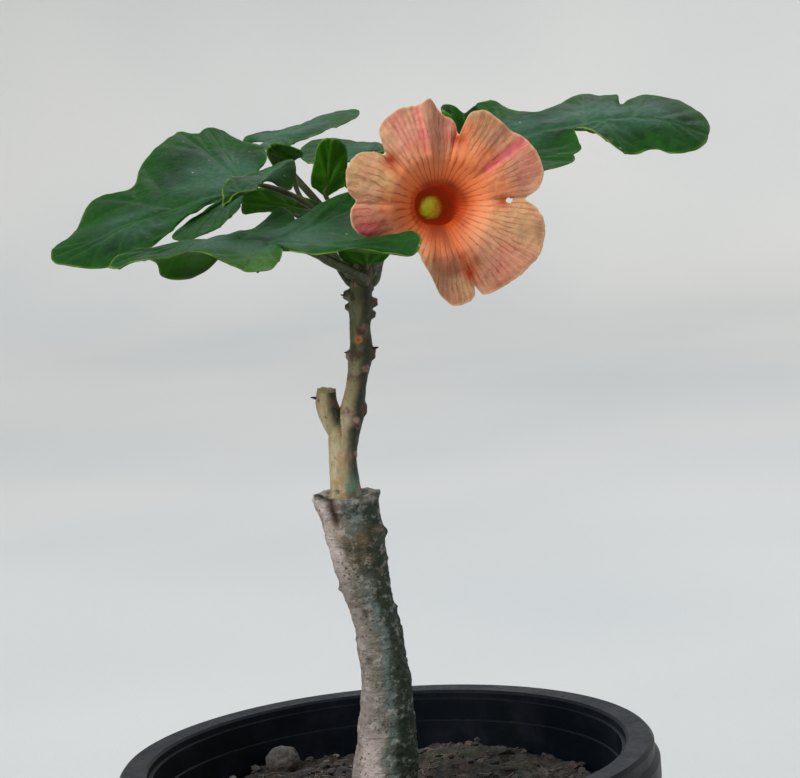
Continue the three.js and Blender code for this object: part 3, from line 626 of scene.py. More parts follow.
@dataclass
class Leaf:
    """One leaf: a thin veined blade on a round stalk, whose end runs on as the midrib.

    Crinkle and frill are the height and the size of the small waves inside the margin and along it.
    """

    shape: LeafShape
    thickness: float = 0.5
    spacing: float = 0.78
    groove: float = 0.24
    ridge: float = 0.36
    quilt: float = 0.4
    quilt_width: float = 1.7
    sway: float = 0.6
    crinkle: Pair = (0.16, 3.2)
    frill: Pair = (0.3, 5.0)
    calm_width: float = 2.5
    rim_width: float = 0.38

    def build(self, blade: Material, stalk: Material) -> Piece:
        """Builds the leaf from its blade and stalk materials. Returns the piece."""
        bm = self.blade()
        joined(bm, self.stalk(), material=1)
        piece = new_piece(self.shape.node.replace("leaf", "leaf_blade"), bm, (blade, stalk))
        return carried(piece, "leaf", self.shape.node)

    def counts(self) -> tuple[int, int]:
        """Returns the columns of one half and the rows that keep faces near the spacing."""
        longest = 0.0
        for side in (1, -1):
            edge = [Vector(self.shape.flat(side, i / 200, 1.0)) for i in range(201)]
            longest = max(longest, sum((b - a).length for a, b in zip(edge, edge[1:])))
        reach = max(rib[1] for rib in self.shape.left + self.shape.right)
        return round(longest / self.spacing), round(reach / self.spacing)

    def wave(self, x: float, y: float) -> float:
        """Returns the slow rise and fall of the blade at a place."""
        return self.sway * lumps(Vector((x, y, 3.0 * self.shape.spine)), 14.0, 2)

    def relief(self, x: float, y: float, edge: float, near: Quad) -> float:
        """Returns the height of quilting, veins and small waves at a place.

        Args:
            x: distance along the midrib.
            y: distance beside it.
            edge: distance from the margin.
            near: distance and width of the nearest main vein, then of the nearest side vein.
        """
        main_gap, main_width, side_gap, side_width = near
        calm = smoothstep(0.0, self.calm_width, edge)
        bulge = self.quilt * calm * (1 - hump(min(main_gap, side_gap), self.quilt_width))
        dip = self.groove * hump(main_gap, 1.3 * main_width) + 0.35 * self.groove * hump(side_gap, 1.3 * side_width)
        crinkle, crinkle_size = self.crinkle
        bulge += crinkle * calm * lumps(Vector((x, y, 5.0)), crinkle_size, 2)
        frill, frill_size = self.frill
        return bulge - dip + frill * (1 - calm) * lumps(Vector((x, y, 9.0)), frill_size, 2)

    def blade(self) -> Mesh:
        """Returns the blade with its veins, pale margin, painted lit lobe and underside marked, in metres."""
        shape = self.shape
        half, rows = self.counts()
        veins = VeinMap(shape).build()
        x_axis, y_axis, z_axis = shape.axes()
        origin = Vector(shape.attach)
        bm, places, layers = grid(2 * half, rows, "vein", "rim", "under", "tip", "fresh")
        vein, rim, _, tip, fresh = layers
        lit_side, lit_share, lit_width = shape.fresh
        columns = []
        for column in range(2 * half + 1):
            side = 1 if column > half else -1
            share = abs(column - half) / half
            columns.append((side, share, shape.foot(share), smooth_row(shape.ribs(side), share)))
        for vert, column, row in places:
            side, share, foot, (angle, length, lift) = columns[column]
            out = row / rows
            turn = math.radians(angle)
            x = foot + out * length * math.cos(turn)
            y = out * length * math.sin(turn)
            rise = out**shape.curl
            near = veins.near(x, y)
            edge = (1 - out) * length
            height = rise * lift + (1 - rise) * shape.crest(foot) + self.relief(x, y, edge, near) + self.wave(x, y)
            vert.co = (origin + x_axis * x + y_axis * y + z_axis * height) * MM
            vert[vein] = max(hump(*near[:2]), 0.62 * hump(*near[2:]))
            vert[rim] = hump(edge, self.rim_width)
            vert[tip] = out
            # painted light: marks one lobe to be coloured bright green, as if lit through
            if side == lit_side:
                vert[fresh] = hump(share - lit_share, lit_width) * smoothstep(0.1, 0.7, out)
        bmesh.ops.remove_doubles(bm, verts=bm.verts[:], dist=2e-6)
        bm.normal_update()
        return self.thickened(bm, z_axis)

    def thickened(self, bm: Mesh, z_axis: Vector) -> Mesh:
        """Gives the blade its lower side, with the veins standing out of it. Returns the bmesh."""
        vein, rim, under = painted(bm, "vein", "rim", "under")
        for vert in backed(bm):
            normal = vert.normal if vert.normal.dot(z_axis) > 0 else -vert.normal
            body = self.thickness * lerp(1.0, 0.55, vert[rim]) + self.ridge * vert[vein]
            vert.co -= (normal + z_axis * 0.5).normalized() * body * MM
            vert[under] = 1.0
        bmesh.ops.recalc_face_normals(bm, faces=bm.faces[:])
        return bm

    def stalk(self) -> Mesh:
        """Returns the stalk, swollen where it leaves the stem and running on below the midrib, in metres."""
        shape = self.shape
        x_axis, _, z_axis = shape.axes()
        radius = shape.radius
        end = max(0.7 * radius, 0.45)
        sunk = 0.42

        def under(share: float, size: float) -> Quad:
            """Returns the station below the midrib at a share of its length."""
            along = share * shape.spine
            place = Vector(shape.attach) + x_axis * along
            place += z_axis * (shape.crest(along) + self.wave(along, 0.0) - size - sunk)
            return (*place, size)

        stations = [*stem_foot(*shape.leaves_stem, radius), *((*place, 0.92 * radius) for place in shape.via)]
        stations += [under(0.03, end), under(0.4, 0.6 * end), under(0.9, 0.3)]
        tube = Bent(stations, sides=20, steps=26 * len(stations))
        return tube.mesh(lambda centre, outward, share: 0.05 * lumps(centre + outward, 1.5))


LEAVES = (
    LeafShape(
        node="leaf_left_large", attach=(-27, 4, 334), turn=(-163, -14, -23), spine=34,
        slide=(0.5, 1.5), bow=1.5,
        right=(
            (0, 28, 0), (-11, 28, 0), (-32, 26, -2), (-57, 30, -1), (-62, 24, 0), (-71, 34, 0), (-79, 42, 0),
            (-85, 48, -2), (-90, 43, -2), (-95, 46, -3), (-100, 43, -4), (-107, 33, -3), (-124, 23, -1),
            (-142, 11, 1),
        ),
        left=(
            (0, 28, 0), (10, 29, 0), (24, 27, -1), (35, 26, -1), (42, 23, 0), (41, 16, 1), (30, 10, 1), (20, 8, 0),
            (26, 20, 2), (27, 30, 2), (30, 34, 2), (40, 34, 3), (47, 31, 3), (52, 27, 3), (57, 21, 3), (63, 14, 2),
        ),
        leaves_stem=(142, 303), radius=1.5,
        via=((-4, 10, 312), (-9.5, 19, 320.5), (-18.5, 20.5, 326), (-24.5, 14, 331)),
    ),
    LeafShape(
        node="leaf_right_large", attach=(40, 6, 339), turn=(-5, -1, 20), spine=50,
        slide=(0.75, 2.5), bow=7,
        right=(
            (0, 20, 0), (-16, 20, 0), (-33, 19, 0), (-53, 18, 1), (-58, 14, 2), (-66, 16, 2), (-69, 17, 3),
            (-65, 14, 6), (-49, 9, 8), (-27, 11, 7), (-28, 22, 5), (-27, 33, 4), (-33, 36, 3), (-48, 33, 3),
            (-62, 29, 2), (-73, 21, 2),
        ),
        left=(
            (0, 20, 0), (28, 23, 0), (48, 26, 0), (63, 28, 1), (76, 30, 1), (84, 29, 1), (88, 18, 4), (85, 27, 3),
            (89, 30, 2), (91, 32, 2), (94, 27, 2), (99, 18, 3), (101, 20, 3), (97, 26, 4), (87, 26, 4),
            (89, 19, 5), (99, 13, 6), (110, 20, 7), (127, 14, 9), (145, 6, 10),
        ),
        leaves_stem=(38, 302.5), radius=1.5,
        via=((12, 14, 310), (23.5, 23, 317.5), (34, 21, 327), (38.5, 13, 335)),
    ),
    LeafShape(
        node="leaf_front", attach=(-20, -30, 320), turn=(-156, -1, -8), spine=24,
        bow=3, curl=2.2,
        right=(
            (0, 25, 0), (-10, 22, 2), (-20, 18, 1), (-64, 21, -6), (-76, 26, -12), (-88, 26, -14), (-101, 26, -12),
            (-112, 21, -5), (-122, 23, -1), (-129, 27, -1), (-132, 32, 4), (-138, 30, 3), (-144, 27, 1),
            (-146, 34, 4), (-148, 38, 5), (-151, 41, 6), (-156, 44, 4), (-175, 37, 0), (-205, 31, -2),
            (-225, 38, 1), (-226, 42, 5), (-229, 47, 4), (-233, 46, 0), (-238, 40, 1), (-245, 31, 2),
            (-257, 23, 0), (-268, 13, 0),
        ),
        left=(
            (0, 25, 0), (8, 28, 0), (19, 27, 2), (29, 27, 3), (33, 26, 4), (37, 24, 3), (45, 27, 1), (52, 29, -1),
            (60, 30, -1), (67, 28, -1), (73, 23, 0), (80, 15, 1),
        ),
        leaves_stem=(-85, 303.5), radius=1.6,
        via=((1.6, -9.5, 307.6), (-4, -15, 311.5), (-7, -20, 314.3), (-12, -26, 317.3)),
        fresh=(1, 0.72, 0.2),
    ),
    LeafShape(
        node="leaf_back", attach=(-22, 58, 343), turn=(43, 8, 8), spine=14,
        right=(
            (0, 27, 0), (-40, 15, 1), (-64, 14, 2), (-90, 15, 2), (-100, 15, 2), (-111, 15, 1), (-125, 14, 1),
            (-150, 8, 1),
        ),
        left=(
            (0, 27, 0), (16, 36, -2), (24, 37, -4), (24, 30, -4), (33, 35, -5), (37, 35, -6), (46, 28, -4),
            (66, 21, -3), (87, 10, -3),
        ),
        leaves_stem=(92, 301), radius=1.2,
        via=((2.5, 13, 310), (-2, 24, 319), (-8, 34, 326), (-17, 50, 336)),
    ),
    LeafShape(
        node="leaf_inner_left", attach=(-22, -14, 336), turn=(-132, -18, -3), spine=6,
        right=(
            (0, 11, 0), (-14, 9, 2), (-62, 7, 3), (-97, 9, 2), (-118, 11, 0), (-138, 13, -1), (-150, 17, -2),
            (-160, 24, -3), (-165, 22, -5), (-170, 17, -7), (-176, 12, -8), (-181, 7, -5),
        ),
        left=(
            (0, 11, 0), (9, 13, 1), (12, 13, 2), (20, 12, 2), (34, 8, 1),
        ),
        leaves_stem=(-155, 305.5), radius=0.95,
        via=((-0.6, -2.5, 315.5), (-7, 0.5, 325), (-15, -6, 331.5)),
    ),
    LeafShape(
        node="leaf_upright", attach=(-4, 14, 328), turn=(-56, 71, -33), spine=8,
        slide=(0.62, 1.5), bow=0.5,
        right=(
            (0, 10, 0), (-9, 12, 0), (-17, 13, 0), (-24, 11, 1), (-38, 8, 1), (-62, 5, 1),
        ),
        left=(
            (0, 10, 0), (12, 12, 1), (22, 13, 2), (34, 10, 2), (58, 6, 1),
        ),
        leaves_stem=(85, 307.5), radius=0.95,
        via=((4.5, 8, 313), (1, 12.5, 320)),
    ),
    LeafShape(
        node="leaf_inner_back", attach=(0, 28, 337), turn=(28, 9, 14), spine=9,
        right=(
            (0, 8, 0), (-25, 10, 1), (-37, 10, 2), (-63, 8, 2), (-91, 7, 2),
        ),
        left=(
            (0, 8, 0), (31, 15, -2), (47, 20, -3), (55, 22, -3), (63, 25, -2), (70, 25, -1), (79, 24, -1),
            (97, 18, 0), (121, 13, 1), (149, 9, 1), (166, 6, 1),
        ),
        leaves_stem=(68, 304.7), radius=0.95,
        via=((7.6, 10.3, 314), (6, 19, 326), (-0.5, 25, 333)),
    ),
    LeafShape(
        node="leaf_inner_low", attach=(-5, 8, 325), turn=(180, 10, 31), spine=10,
        slide=(0.62, 1.5), bow=0.5,
        right=(
            (0, 14, 0), (-19, 16, -1), (-28, 16, 1), (-34, 15, 2), (-44, 14, 2), (-60, 10, 2), (-82, 5, 1),
        ),
        left=(
            (0, 14, 0), (17, 17, 0), (27, 16, 1), (33, 14, 1), (44, 10, 0), (64, 5, 0),
        ),
        leaves_stem=(170, 307.8), radius=0.9,
        via=((-0.2, 3, 315.5), (-3, 7, 321)),
    ),
    LeafShape(
        node="leaf_small", attach=(-13.5, 20, 339), turn=(-138, 34, 38), spine=4,
        slide=(0.62, 1.5), bow=0.5,
        right=(
            (0, 6, 0), (-14, 6.5, 1), (-50, 6, 1.5), (-85, 6, 1.5), (-120, 5, 1),
        ),
        left=(
            (0, 6, 0), (12, 7, 0), (35, 7, -1), (70, 6, -1), (100, 4, 0),
        ),
        leaves_stem=(128, 306), radius=0.8,
        via=((0, 9.5, 314), (-5, 16, 320), (-11.5, 20, 327.5), (-13.4, 21, 334)),
    ),
    LeafShape(
        node="leaf_young", attach=(6.4, -5.6, 308.8), turn=(-88, 46, 0), spine=4,
        bow=-0.6, curl=1.5,
        right=(
            (0, 7, 0), (-22, 9, 0.4), (-42, 11.5, 1), (-60, 9, 1), (-85, 5, 0.6),
        ),
        left=(
            (0, 7, 0), (22, 9, 0.4), (42, 11.5, 1), (60, 9, 1), (85, 5, 0.6),
        ),
        leaves_stem=(-86, 307.5), radius=1.1,
        via=(),
    ),
)


# ---- flower


@dataclass(frozen=True)
class Streak:
    """A blush on the limb: its direction in degrees, its half width, where it starts and ends, its strength."""

    degrees: float
    width: float
    start: float
    end: float
    strength: float

    def at(self, degrees: float, radius: float) -> float:
        """Returns how strong the blush is at a place of the limb."""
        off = math.radians((degrees - self.degrees + 180) % 360 - 180) * radius
        begun = smoothstep(self.start - 3, self.start + 3, radius)
        left = 1 - smoothstep(self.end - 2, self.end + 2, radius)
        return self.strength * hump(off, self.width) * (begun * left)


@dataclass
class Flower:
    """A long tube that opens into five round lobes, with its cup, stalk and pistil.

    The rim lists direction, reach and lift of the lobes' edge. A fall runs from a crest to a cleft, by their
    directions, and has a drop. The squeeze is how much, at which depth and over what length the throat is
    narrowed from above and below. The cup's wall lists radius and drop, the pistil depth, shift and radius.
    """

    face: Triple = (29.2, -35, 326.4)
    heel: Triple = (24.7, 6, 324.3)
    stations: tuple[Pair, ...] = ((0, 41), (3, 40.6), (3.7, 34), (5, 22), (6.3, 10.5), (8.5, 5))
    shoulder: Pair = (15, 0.8)
    thickness: float = 0.42
    columns: int = 400
    tube_rows: int = 22
    limb_rows: int = 64
    rim: tuple[Triple, ...] = (
        (-0.5, 24.4, 0), (5, 28.4, 0.6), (14, 31, 1.2), (24, 31.4, 0.8), (35, 30.6, 0), (41, 29.5, -0.6),
        (47, 29.4, -0.2), (59, 29.9, 0.4), (64, 29, 0.6), (68, 27, 0.8), (70.3, 21, 0), (73, 23.4, 0.4),
        (76, 24.8, 0.8), (84, 26.3, 0.6), (87, 28, 0.2), (91, 30.7, 0.8), (95, 29.9, 0.2), (99, 29.4, -0.4),
        (108, 30, 0), (119, 29.2, 0.6), (124, 28, 0.8), (128, 24.8, 1), (132, 21.6, 0.2), (136, 24.6, 0.8),
        (145, 28.4, 1.2), (152, 28.9, 1.4), (161, 27.9, 0.6), (167, 26.2, 0), (172, 24.2, -0.4), (178, 25.8, 0.4),
        (184, 26.1, 0.8), (192, 25, 0.6), (200, 21.8, -1.2), (212, 16.4, -1.6), (228, 14.2, -1.6),
        (240, 15, -2.4), (252, 18.2, -1.6), (258, 20.4, -0.6), (266, 26, 0.2), (273, 28.5, 0.8),
        (281, 28.4, 0.8), (286, 27.2, 0.6), (288.6, 24.6, 0), (290.8, 28.2, 0.4), (296, 28.8, 0.4),
        (306, 29.3, 0.2), (319, 30.8, -0.6), (328, 31.6, 0), (339, 31, 0.6), (348, 29.4, 0.8), (355, 27, 0.6),
    )
    clefts: tuple[float, ...] = (-0.5, 70.3, 132, 228, 288.6, 359.5)
    falls: tuple[Triple, ...] = (
        (94, 70.3, 2.6), (16, -0.5, 0.9), (152, 132, 0.9), (304, 288.6, 1.4), (186, 172, 0.8),
    )
    folds: tuple[Streak, ...] = (
        Streak(96, 1.5, 12, 33, 0.9), Streak(33, 1.6, 13, 33, -0.8), Streak(172, 1.8, 12, 30, -0.6),
        Streak(112, 3.0, 12, 32, 0.5), Streak(322, 2.0, 13, 33, -0.7), Streak(262, 1.4, 11, 30, -0.7),
        Streak(50, 3.0, 14, 31, 0.6), Streak(345, 3.0, 14, 31, 0.6), Streak(305, 2.2, 14, 31, 0.5),
        Streak(274, 1.6, 12, 30, 0.6), Streak(152, 2.4, 13, 30, 0.5), Streak(82, 1.5, 13, 28, -0.6),
    )
    blushes: tuple[Streak, ...] = (
        Streak(33.5, 1.3, 16, 32, 1.0), Streak(99, 1.4, 17, 33, 0.7), Streak(112, 4.0, 19, 33, 0.5),
        Streak(78, 2.4, 18, 27, 0.5), Streak(194, 3.0, 19, 27, 0.8), Streak(176, 2.6, 20, 28, 0.35),
        Streak(20, 6.0, 23, 33, 0.3), Streak(312, 6.0, 22, 33, 0.3),
    )
    tans: tuple[Streak, ...] = (
        Streak(62, 5.0, 20, 34, 0.8), Streak(152, 6.5, 13, 34, 0.7), Streak(345, 7.0, 14, 34, 0.55),
        Streak(258, 2.4, 12, 30, 0.9), Streak(283, 2.6, 18, 32, 0.7), Streak(164, 3.0, 9, 20, 0.6),
    )
    # Mauve tint and painted shade: darker streaks on lobe sides that face away from the light.
    mauve_and_shade_streaks: tuple[Streak, ...] = (
        Streak(86, 3.6, 10, 33, 0.6), Streak(302, 6.0, 18, 34, 0.6), Streak(190, 7.0, 8, 30, 1.0),
        Streak(20, 7.0, 20, 34, 0.45), Streak(266, 4.0, 9, 30, 0.6), Streak(56, 5.0, 20, 32, 0.55),
        Streak(282, 6.5, 7, 20, 1.0), Streak(340, 5.0, 21, 33, 0.3),
    )
    # Painted shade: dark streaks on the upper and side walls of the throat.
    throat_shades: tuple[Streak, ...] = (
        Streak(84, 4.6, 1, 8.5, 0.8), Streak(50, 2.4, 1, 8.5, 0.8), Streak(114, 2.2, 1, 9, 0.7),
        Streak(254, 2.4, 1, 10, 1.0), Streak(276, 1.6, 1, 12, 0.8), Streak(322, 2.0, 1, 9, 0.7),
        Streak(12, 3.2, 1, 9, 0.7),
    )
    # Painted light: orange streaks where the throat's lit wall and the bulging lobes catch the light.
    painted_lights: tuple[Streak, ...] = (
        Streak(42, 6.0, 8, 22, 1.0), Streak(10, 5.0, 8, 21, 0.8), Streak(134, 3.0, 9, 21, 0.8),
        Streak(336, 4.0, 8, 18, 0.3), Streak(66, 2.4, 10, 26, 0.9), Streak(108, 4.0, 9, 20, 0.4),
        Streak(168, 4.0, 8, 18, 0.6), Streak(288.6, 1.6, 10, 24, 0.7),
    )
    puckers: tuple[Pair, ...] = ((132, 19.4), (70.3, 19.9), (-0.5, 18), (288.6, 21))
    hole: Triple = (-0.5, 19.8, 0.75)
    squeeze: Triple = (0.2, 7.5, 3.0)
    deepest: float = 40
    map_reach: float = 32
    cup_sides: int = 120
    cup_rows: int = 40
    cup_wall: tuple[Pair, ...] = (
        (0, 3.6), (1.6, 3.4), (3.2, 2.2), (4.7, -1.5), (5.0, -4), (5.2, -7), (5.1, -7.2), (4.5, -7), (4.3, -4),
        (4, -1), (2, 0.3), (0, 0.5),
    )
    tooth: float = 2.6
    pistil_line: tuple[Triple, ...] = (
        (40.2, 0, 1.0), (31, 0, 0.7), (23, -0.1, 0.8), (17.5, -0.5, 1.3), (14, -1.1, 2.5), (11.5, -1.6, 3.4),
        (9, -2.0, 3.6), (7.2, -2.2, 2.9), (6.3, -2.2, 1.3),
    )

    def axes(self) -> tuple[Vector, Vector, Vector]:
        """Returns the flower's axes: right, up the face, and out of its mouth."""
        out = (Vector(self.face) - Vector(self.heel)).normalized()
        right = Vector((0, 0, 1)).cross(out).normalized()
        return right, out.cross(right), out

    def inside(self, across: float, upward: float, outward: float) -> Vector:
        """Returns a place in the flower's own frame as a point of the part, in millimetres."""
        right, up, out = self.axes()
        return Vector(self.face) + right * across + up * upward + out * outward

    def slope(self, index: int, part: int) -> float:
        """Returns the rim's slope per degree at an entry, flat where the rim turns back."""
        count = len(self.rim)

        def rise(k: int) -> float:
            """Returns the slope from one entry to the next."""
            a, b = self.rim[k % count], self.rim[(k + 1) % count]
            return (b[part] - a[part]) / ((b[0] - a[0]) % 360)

        before, after = rise(index - 1), rise(index)
        return 0.0 if before * after <= 0 else 2 * before * after / (before + after)

    def rim_at(self, degrees: float) -> Pair:
        """Returns reach and lift of the edge in a direction, smooth and never past its entries."""
        count = len(self.rim)
        turned = (degrees - self.rim[0][0]) % 360 + self.rim[0][0]
        index = max(i for i in range(count) if self.rim[i][0] <= turned)
        low, high = self.rim[index], self.rim[(index + 1) % count]
        span = (high[0] - low[0]) % 360
        u = (turned - low[0]) / span
        made = []
        for part in (1, 2):
            m0, m1 = self.slope(index, part) * span, self.slope(index + 1, part) * span
            value = (2 * u**3 - 3 * u**2 + 1) * low[part] + (u**3 - 2 * u**2 + u) * m0
            made.append(value + (3 * u**2 - 2 * u**3) * high[part] + (u**3 - u**2) * m1)
        return made[0], made[1]

    def fan(self, degrees: float) -> float:
        """Returns the lobe's number plus the share of the way across it."""
        turned = (degrees - self.clefts[0]) % 360 + self.clefts[0]
        index = max(i for i in range(5) if self.clefts[i] <= turned)
        low, high = self.clefts[index], self.clefts[index + 1]
        return index + (turned - low) / (high - low)

    def tube_at(self, turn: float, share: float) -> Pair:
        """Returns radius and depth of the fluted tube, for a share of the way from its foot to its mouth."""
        radius, depth = smooth_row(self.stations, share)
        flute = 0.12 * math.cos(5 * turn) * smoothstep(40, 30, depth)
        return max(radius, 0.0) + (flute if radius > 1 else 0.0), depth

    def limb_at(self, degrees: float, out: float, edge: Pair, share: float) -> Pair:
        """Places a point of the lobes.

        Args:
            degrees: its direction.
            out: share of the way from the mouth to the edge.
            edge: reach and lift of the edge in that direction.
            share: share of the way across its lobe.

        Returns:
            Its radius, and its depth below the face.
        """
        turn = math.radians(degrees)
        spot = Vector((math.cos(turn), math.sin(turn), 0.0))
        mouth, mouth_depth = self.stations[-1]
        reach, lift = edge
        nibble = 0.22 * lumps(spot * reach + Vector((0, 0, 5)), 1.6, 2) * smoothstep(0.6, 1.0, out)
        radius = lerp(mouth, reach + nibble, out)
        settled = smoothstep(mouth - 0.5, self.shoulder[0], radius)
        cleft = math.radians(min(share, 1 - share) * 72) * radius
        relief = sum(fold.at(degrees, radius) for fold in self.folds) + self.fall(degrees, radius)
        relief -= 0.6 * hump(cleft, 1.1) * smoothstep(11, 19, radius)
        relief += 0.7 * math.sin(math.pi * share) * math.sin(math.pi * min(out, 1.0))
        relief += 0.04 * math.cos(2 * math.pi * 9 * share) * smoothstep(9, 14, radius)
        relief += 0.5 * out * lumps(spot * radius, 9.0, 3) + 0.22 * settled * lumps(spot * radius, 3.6, 3)
        relief += 0.3 * smoothstep(0.82, 1.0, out) * lumps(spot * radius + Vector((3, 0, 0)), 2.6, 2)
        return radius, lerp(mouth_depth, self.shoulder[1], settled) - lift * out * out - relief

    def corolla(self, material: Material) -> Piece:
        """Builds the tube and its lobes. Returns the piece."""
        rows = self.tube_rows + self.limb_rows
        bm, places, layers = grid(self.columns, rows, *self.tints(), "pucker", "rim", "under", "depth")
        *tints, pucker, rim, _, deep = layers
        tints = list(zip(tints, self.tints().values()))
        spots = {vert.index: (column, row) for vert, column, row in places}
        mouth = self.stations[-1][0]
        headings = [360 * column / self.columns for column in range(self.columns + 1)]
        edges = [self.rim_at(degrees) for degrees in headings]
        fans = [self.fan(degrees) for degrees in headings]
        fans[-1] = fans[-2] + (fans[1] - fans[0])
        narrowed, middle, length = self.squeeze
        for vert, column, row in places:
            degrees, edge = headings[column], edges[column]
            turn = math.radians(degrees)
            if row <= self.tube_rows:
                radius, depth = self.tube_at(turn, row / self.tube_rows)
            else:
                out = (row - self.tube_rows) / self.limb_rows
                radius, depth = self.limb_at(degrees, out, edge, fans[column] % 1)
                vert[pucker] = self.puckered(Vector((math.cos(turn), math.sin(turn), 0.0)) * radius)
                vert[rim] = hump((1 - out) * (edge[0] - mouth), 0.45)
            for layer, marks in tints:
                vert[layer] = min(sum(mark.at(degrees, radius) for mark in marks), 1.0) * smoothstep(14, 9, depth)
            if row:
                radius *= 1 - narrowed * math.sin(turn) ** 2 * hump(depth - middle, length)
            vert[deep] = max(depth, 0.0) / self.deepest
            vert.co = self.inside(radius * math.cos(turn), radius * math.sin(turn), -depth) * MM
        self.map_petals(bm, spots, fans, [reach for reach, _ in edges])
        self.open_hole(bm)
        bmesh.ops.remove_doubles(bm, verts=bm.verts[:], dist=1e-6)
        self.thickened(bm)
        return carried(new_piece("flower_petals", bm, (material,)), "corolla", "corolla")

    def map_petals(
        self, bm: Mesh, spots: dict[int, tuple[int, int]], fans: Sequence[float], reaches: Sequence[float]
    ) -> None:
        """Lays the petal map, which runs across each lobe and out along it.

        Args:
            bm: the corolla.
            spots: column and row by the vertex's number.
            fans: lobe number and share across it, by column.
            reaches: reach of the edge, by column.
        """
        bm.verts.index_update()
        uv = bm.loops.layers.uv.new("petal")
        for loop in (loop for face in bm.faces for loop in face.loops):
            column, row = spots[loop.vert.index]
            out = max(row - self.tube_rows, 0) / self.limb_rows
            loop[uv].uv = (fans[column], lerp(self.stations[-1][0], reaches[column], out) / self.map_reach)

    def thickened(self, bm: Mesh) -> None:
        """Gives the sheet its back, away from the flower's face."""
        rim, under = painted(bm, "rim", "under")
        bm.normal_update()
        out_axis = self.axes()[2]
        facing = math.copysign(1.0, sum(face.normal.dot(out_axis) * face.calc_area() for face in bm.faces))
        for vert in backed(bm):
            vert.co -= vert.normal * facing * self.thickness * lerp(1.0, 0.6, vert[rim]) * MM
            vert[under] = 1.0
        bmesh.ops.recalc_face_normals(bm, faces=bm.faces[:])

    def tints(self) -> dict[str, tuple[Streak, ...]]:
        """Returns the streaks of each tint, painted light and shade among them, by the name of its layer."""
        return {
            "blush": self.blushes, "tan": self.tans, "mauve": self.mauve_and_shade_streaks, "glow": self.painted_lights, "dusk": self.throat_shades,
        }

    def fall(self, degrees: float, radius: float) -> float:
        """Returns how far a lobe's side falls back, towards the cleft that it meets."""
        total = 0.0
        for crest, foot, drop in self.falls:
            share = ((crest - degrees + 180) % 360 - 180) / (crest - foot)
            if 0 < share < 1:
                shape = math.sin(math.pi / 2 * share) * smoothstep(1.0, 0.94, share)
                total -= drop * shape * smoothstep(9, 24, radius)
        return total

    def puckered(self, spot: Vector) -> float:
        """Returns how near a place is to the inner end of a cleft."""
        total = 0.0
        for degrees, reach in self.puckers:
            turn = math.radians(degrees)
            total += hump((spot - Vector((math.cos(turn), math.sin(turn), 0)) * reach).length, 1.8)
        return min(total, 1.0)

    def open_hole(self, bm: Mesh) -> None:
        """Opens the small gap that two lobes leave at the foot of their cleft."""
        degrees, reach, size = self.hole
        turn = math.radians(degrees)
        centre = self.inside(reach * math.cos(turn), reach * math.sin(turn), 0) * MM
        right, up, _ = self.axes()
        offs = ((face, face.calc_center_median() - centre) for face in bm.faces)
        gone = [face for face, off in offs if math.hypot(off.dot(right) / 1.5, off.dot(up)) < size * MM]
        bmesh.ops.delete(bm, geom=gone, context="FACES")

    def cup(self, material: Material) -> Piece:
        """Builds the green cup with its five teeth and its stalk. Returns the piece."""
        heel = self.stations[0][1]
        bm, places, _ = grid(self.cup_sides, self.cup_rows)
        for vert, column, row in places:
            turn = 2 * math.pi * column / self.cup_sides
            radius, drop = smooth_row(self.cup_wall, row / self.cup_rows)
            tooth = (0.5 + 0.5 * math.cos(5 * turn)) ** 1.6
            lip = smoothstep(-4.5, -7, drop)
            spot = Vector((math.cos(turn), math.sin(turn), drop / 5)) * 5
            rib = 0.12 * math.cos(10 * turn) + 0.1 * lumps(spot, 2.0)
            radius = max(radius + (rib if radius > 1 else 0), 0) + 0.35 * lip * tooth
            depth = heel + drop - self.tooth * tooth * lip
            vert.co = self.inside(radius * math.cos(turn), radius * math.sin(turn), -depth) * MM
        closed(bm)
        end = self.inside(0, 0, -heel - 2.0)
        near = self.inside(-0.6, -0.5, -heel - 6.0)
        line = [*stem_foot(10, 307.5, 1.1), (11, 4.2, 311.6, 1.1), (17.5, 7.5, 317, 1.1), (*near, 1.2), (*end, 1.5)]
        stalk = Bent(line, sides=20, steps=120)
        joined(bm, stalk.mesh(lambda centre, outward, share: 0.05 * lumps(centre + outward, 1.2)))
        return carried(new_piece("flower_cup", bm, (material,)), "calyx", "calyx")

    def pistil(self, material: Material) -> Piece:
        """Builds the pistil with its broad two-lipped tip in the throat. Returns the piece."""
        up = self.axes()[1]

        def lips(centre: Vector, outward: Vector, share: float) -> float:
            """Returns what the lips and lumps of the tip add to the radius."""
            lump = 0.3 * lumps(centre + 3 * outward, 2.4, 3)
            return smoothstep(0.6, 0.9, share) * (lump - 0.35 * abs(outward.dot(up)))

        line = [(*self.inside(shift, 0.2 * shift, -depth), radius) for depth, shift, radius in self.pistil_line]
        bm = Bent(line, sides=48, steps=120).mesh(lips)
        return carried(new_piece("flower_pistil", bm, (material,)), "pistil", "pistil")


# ---- trunk and grafted stem


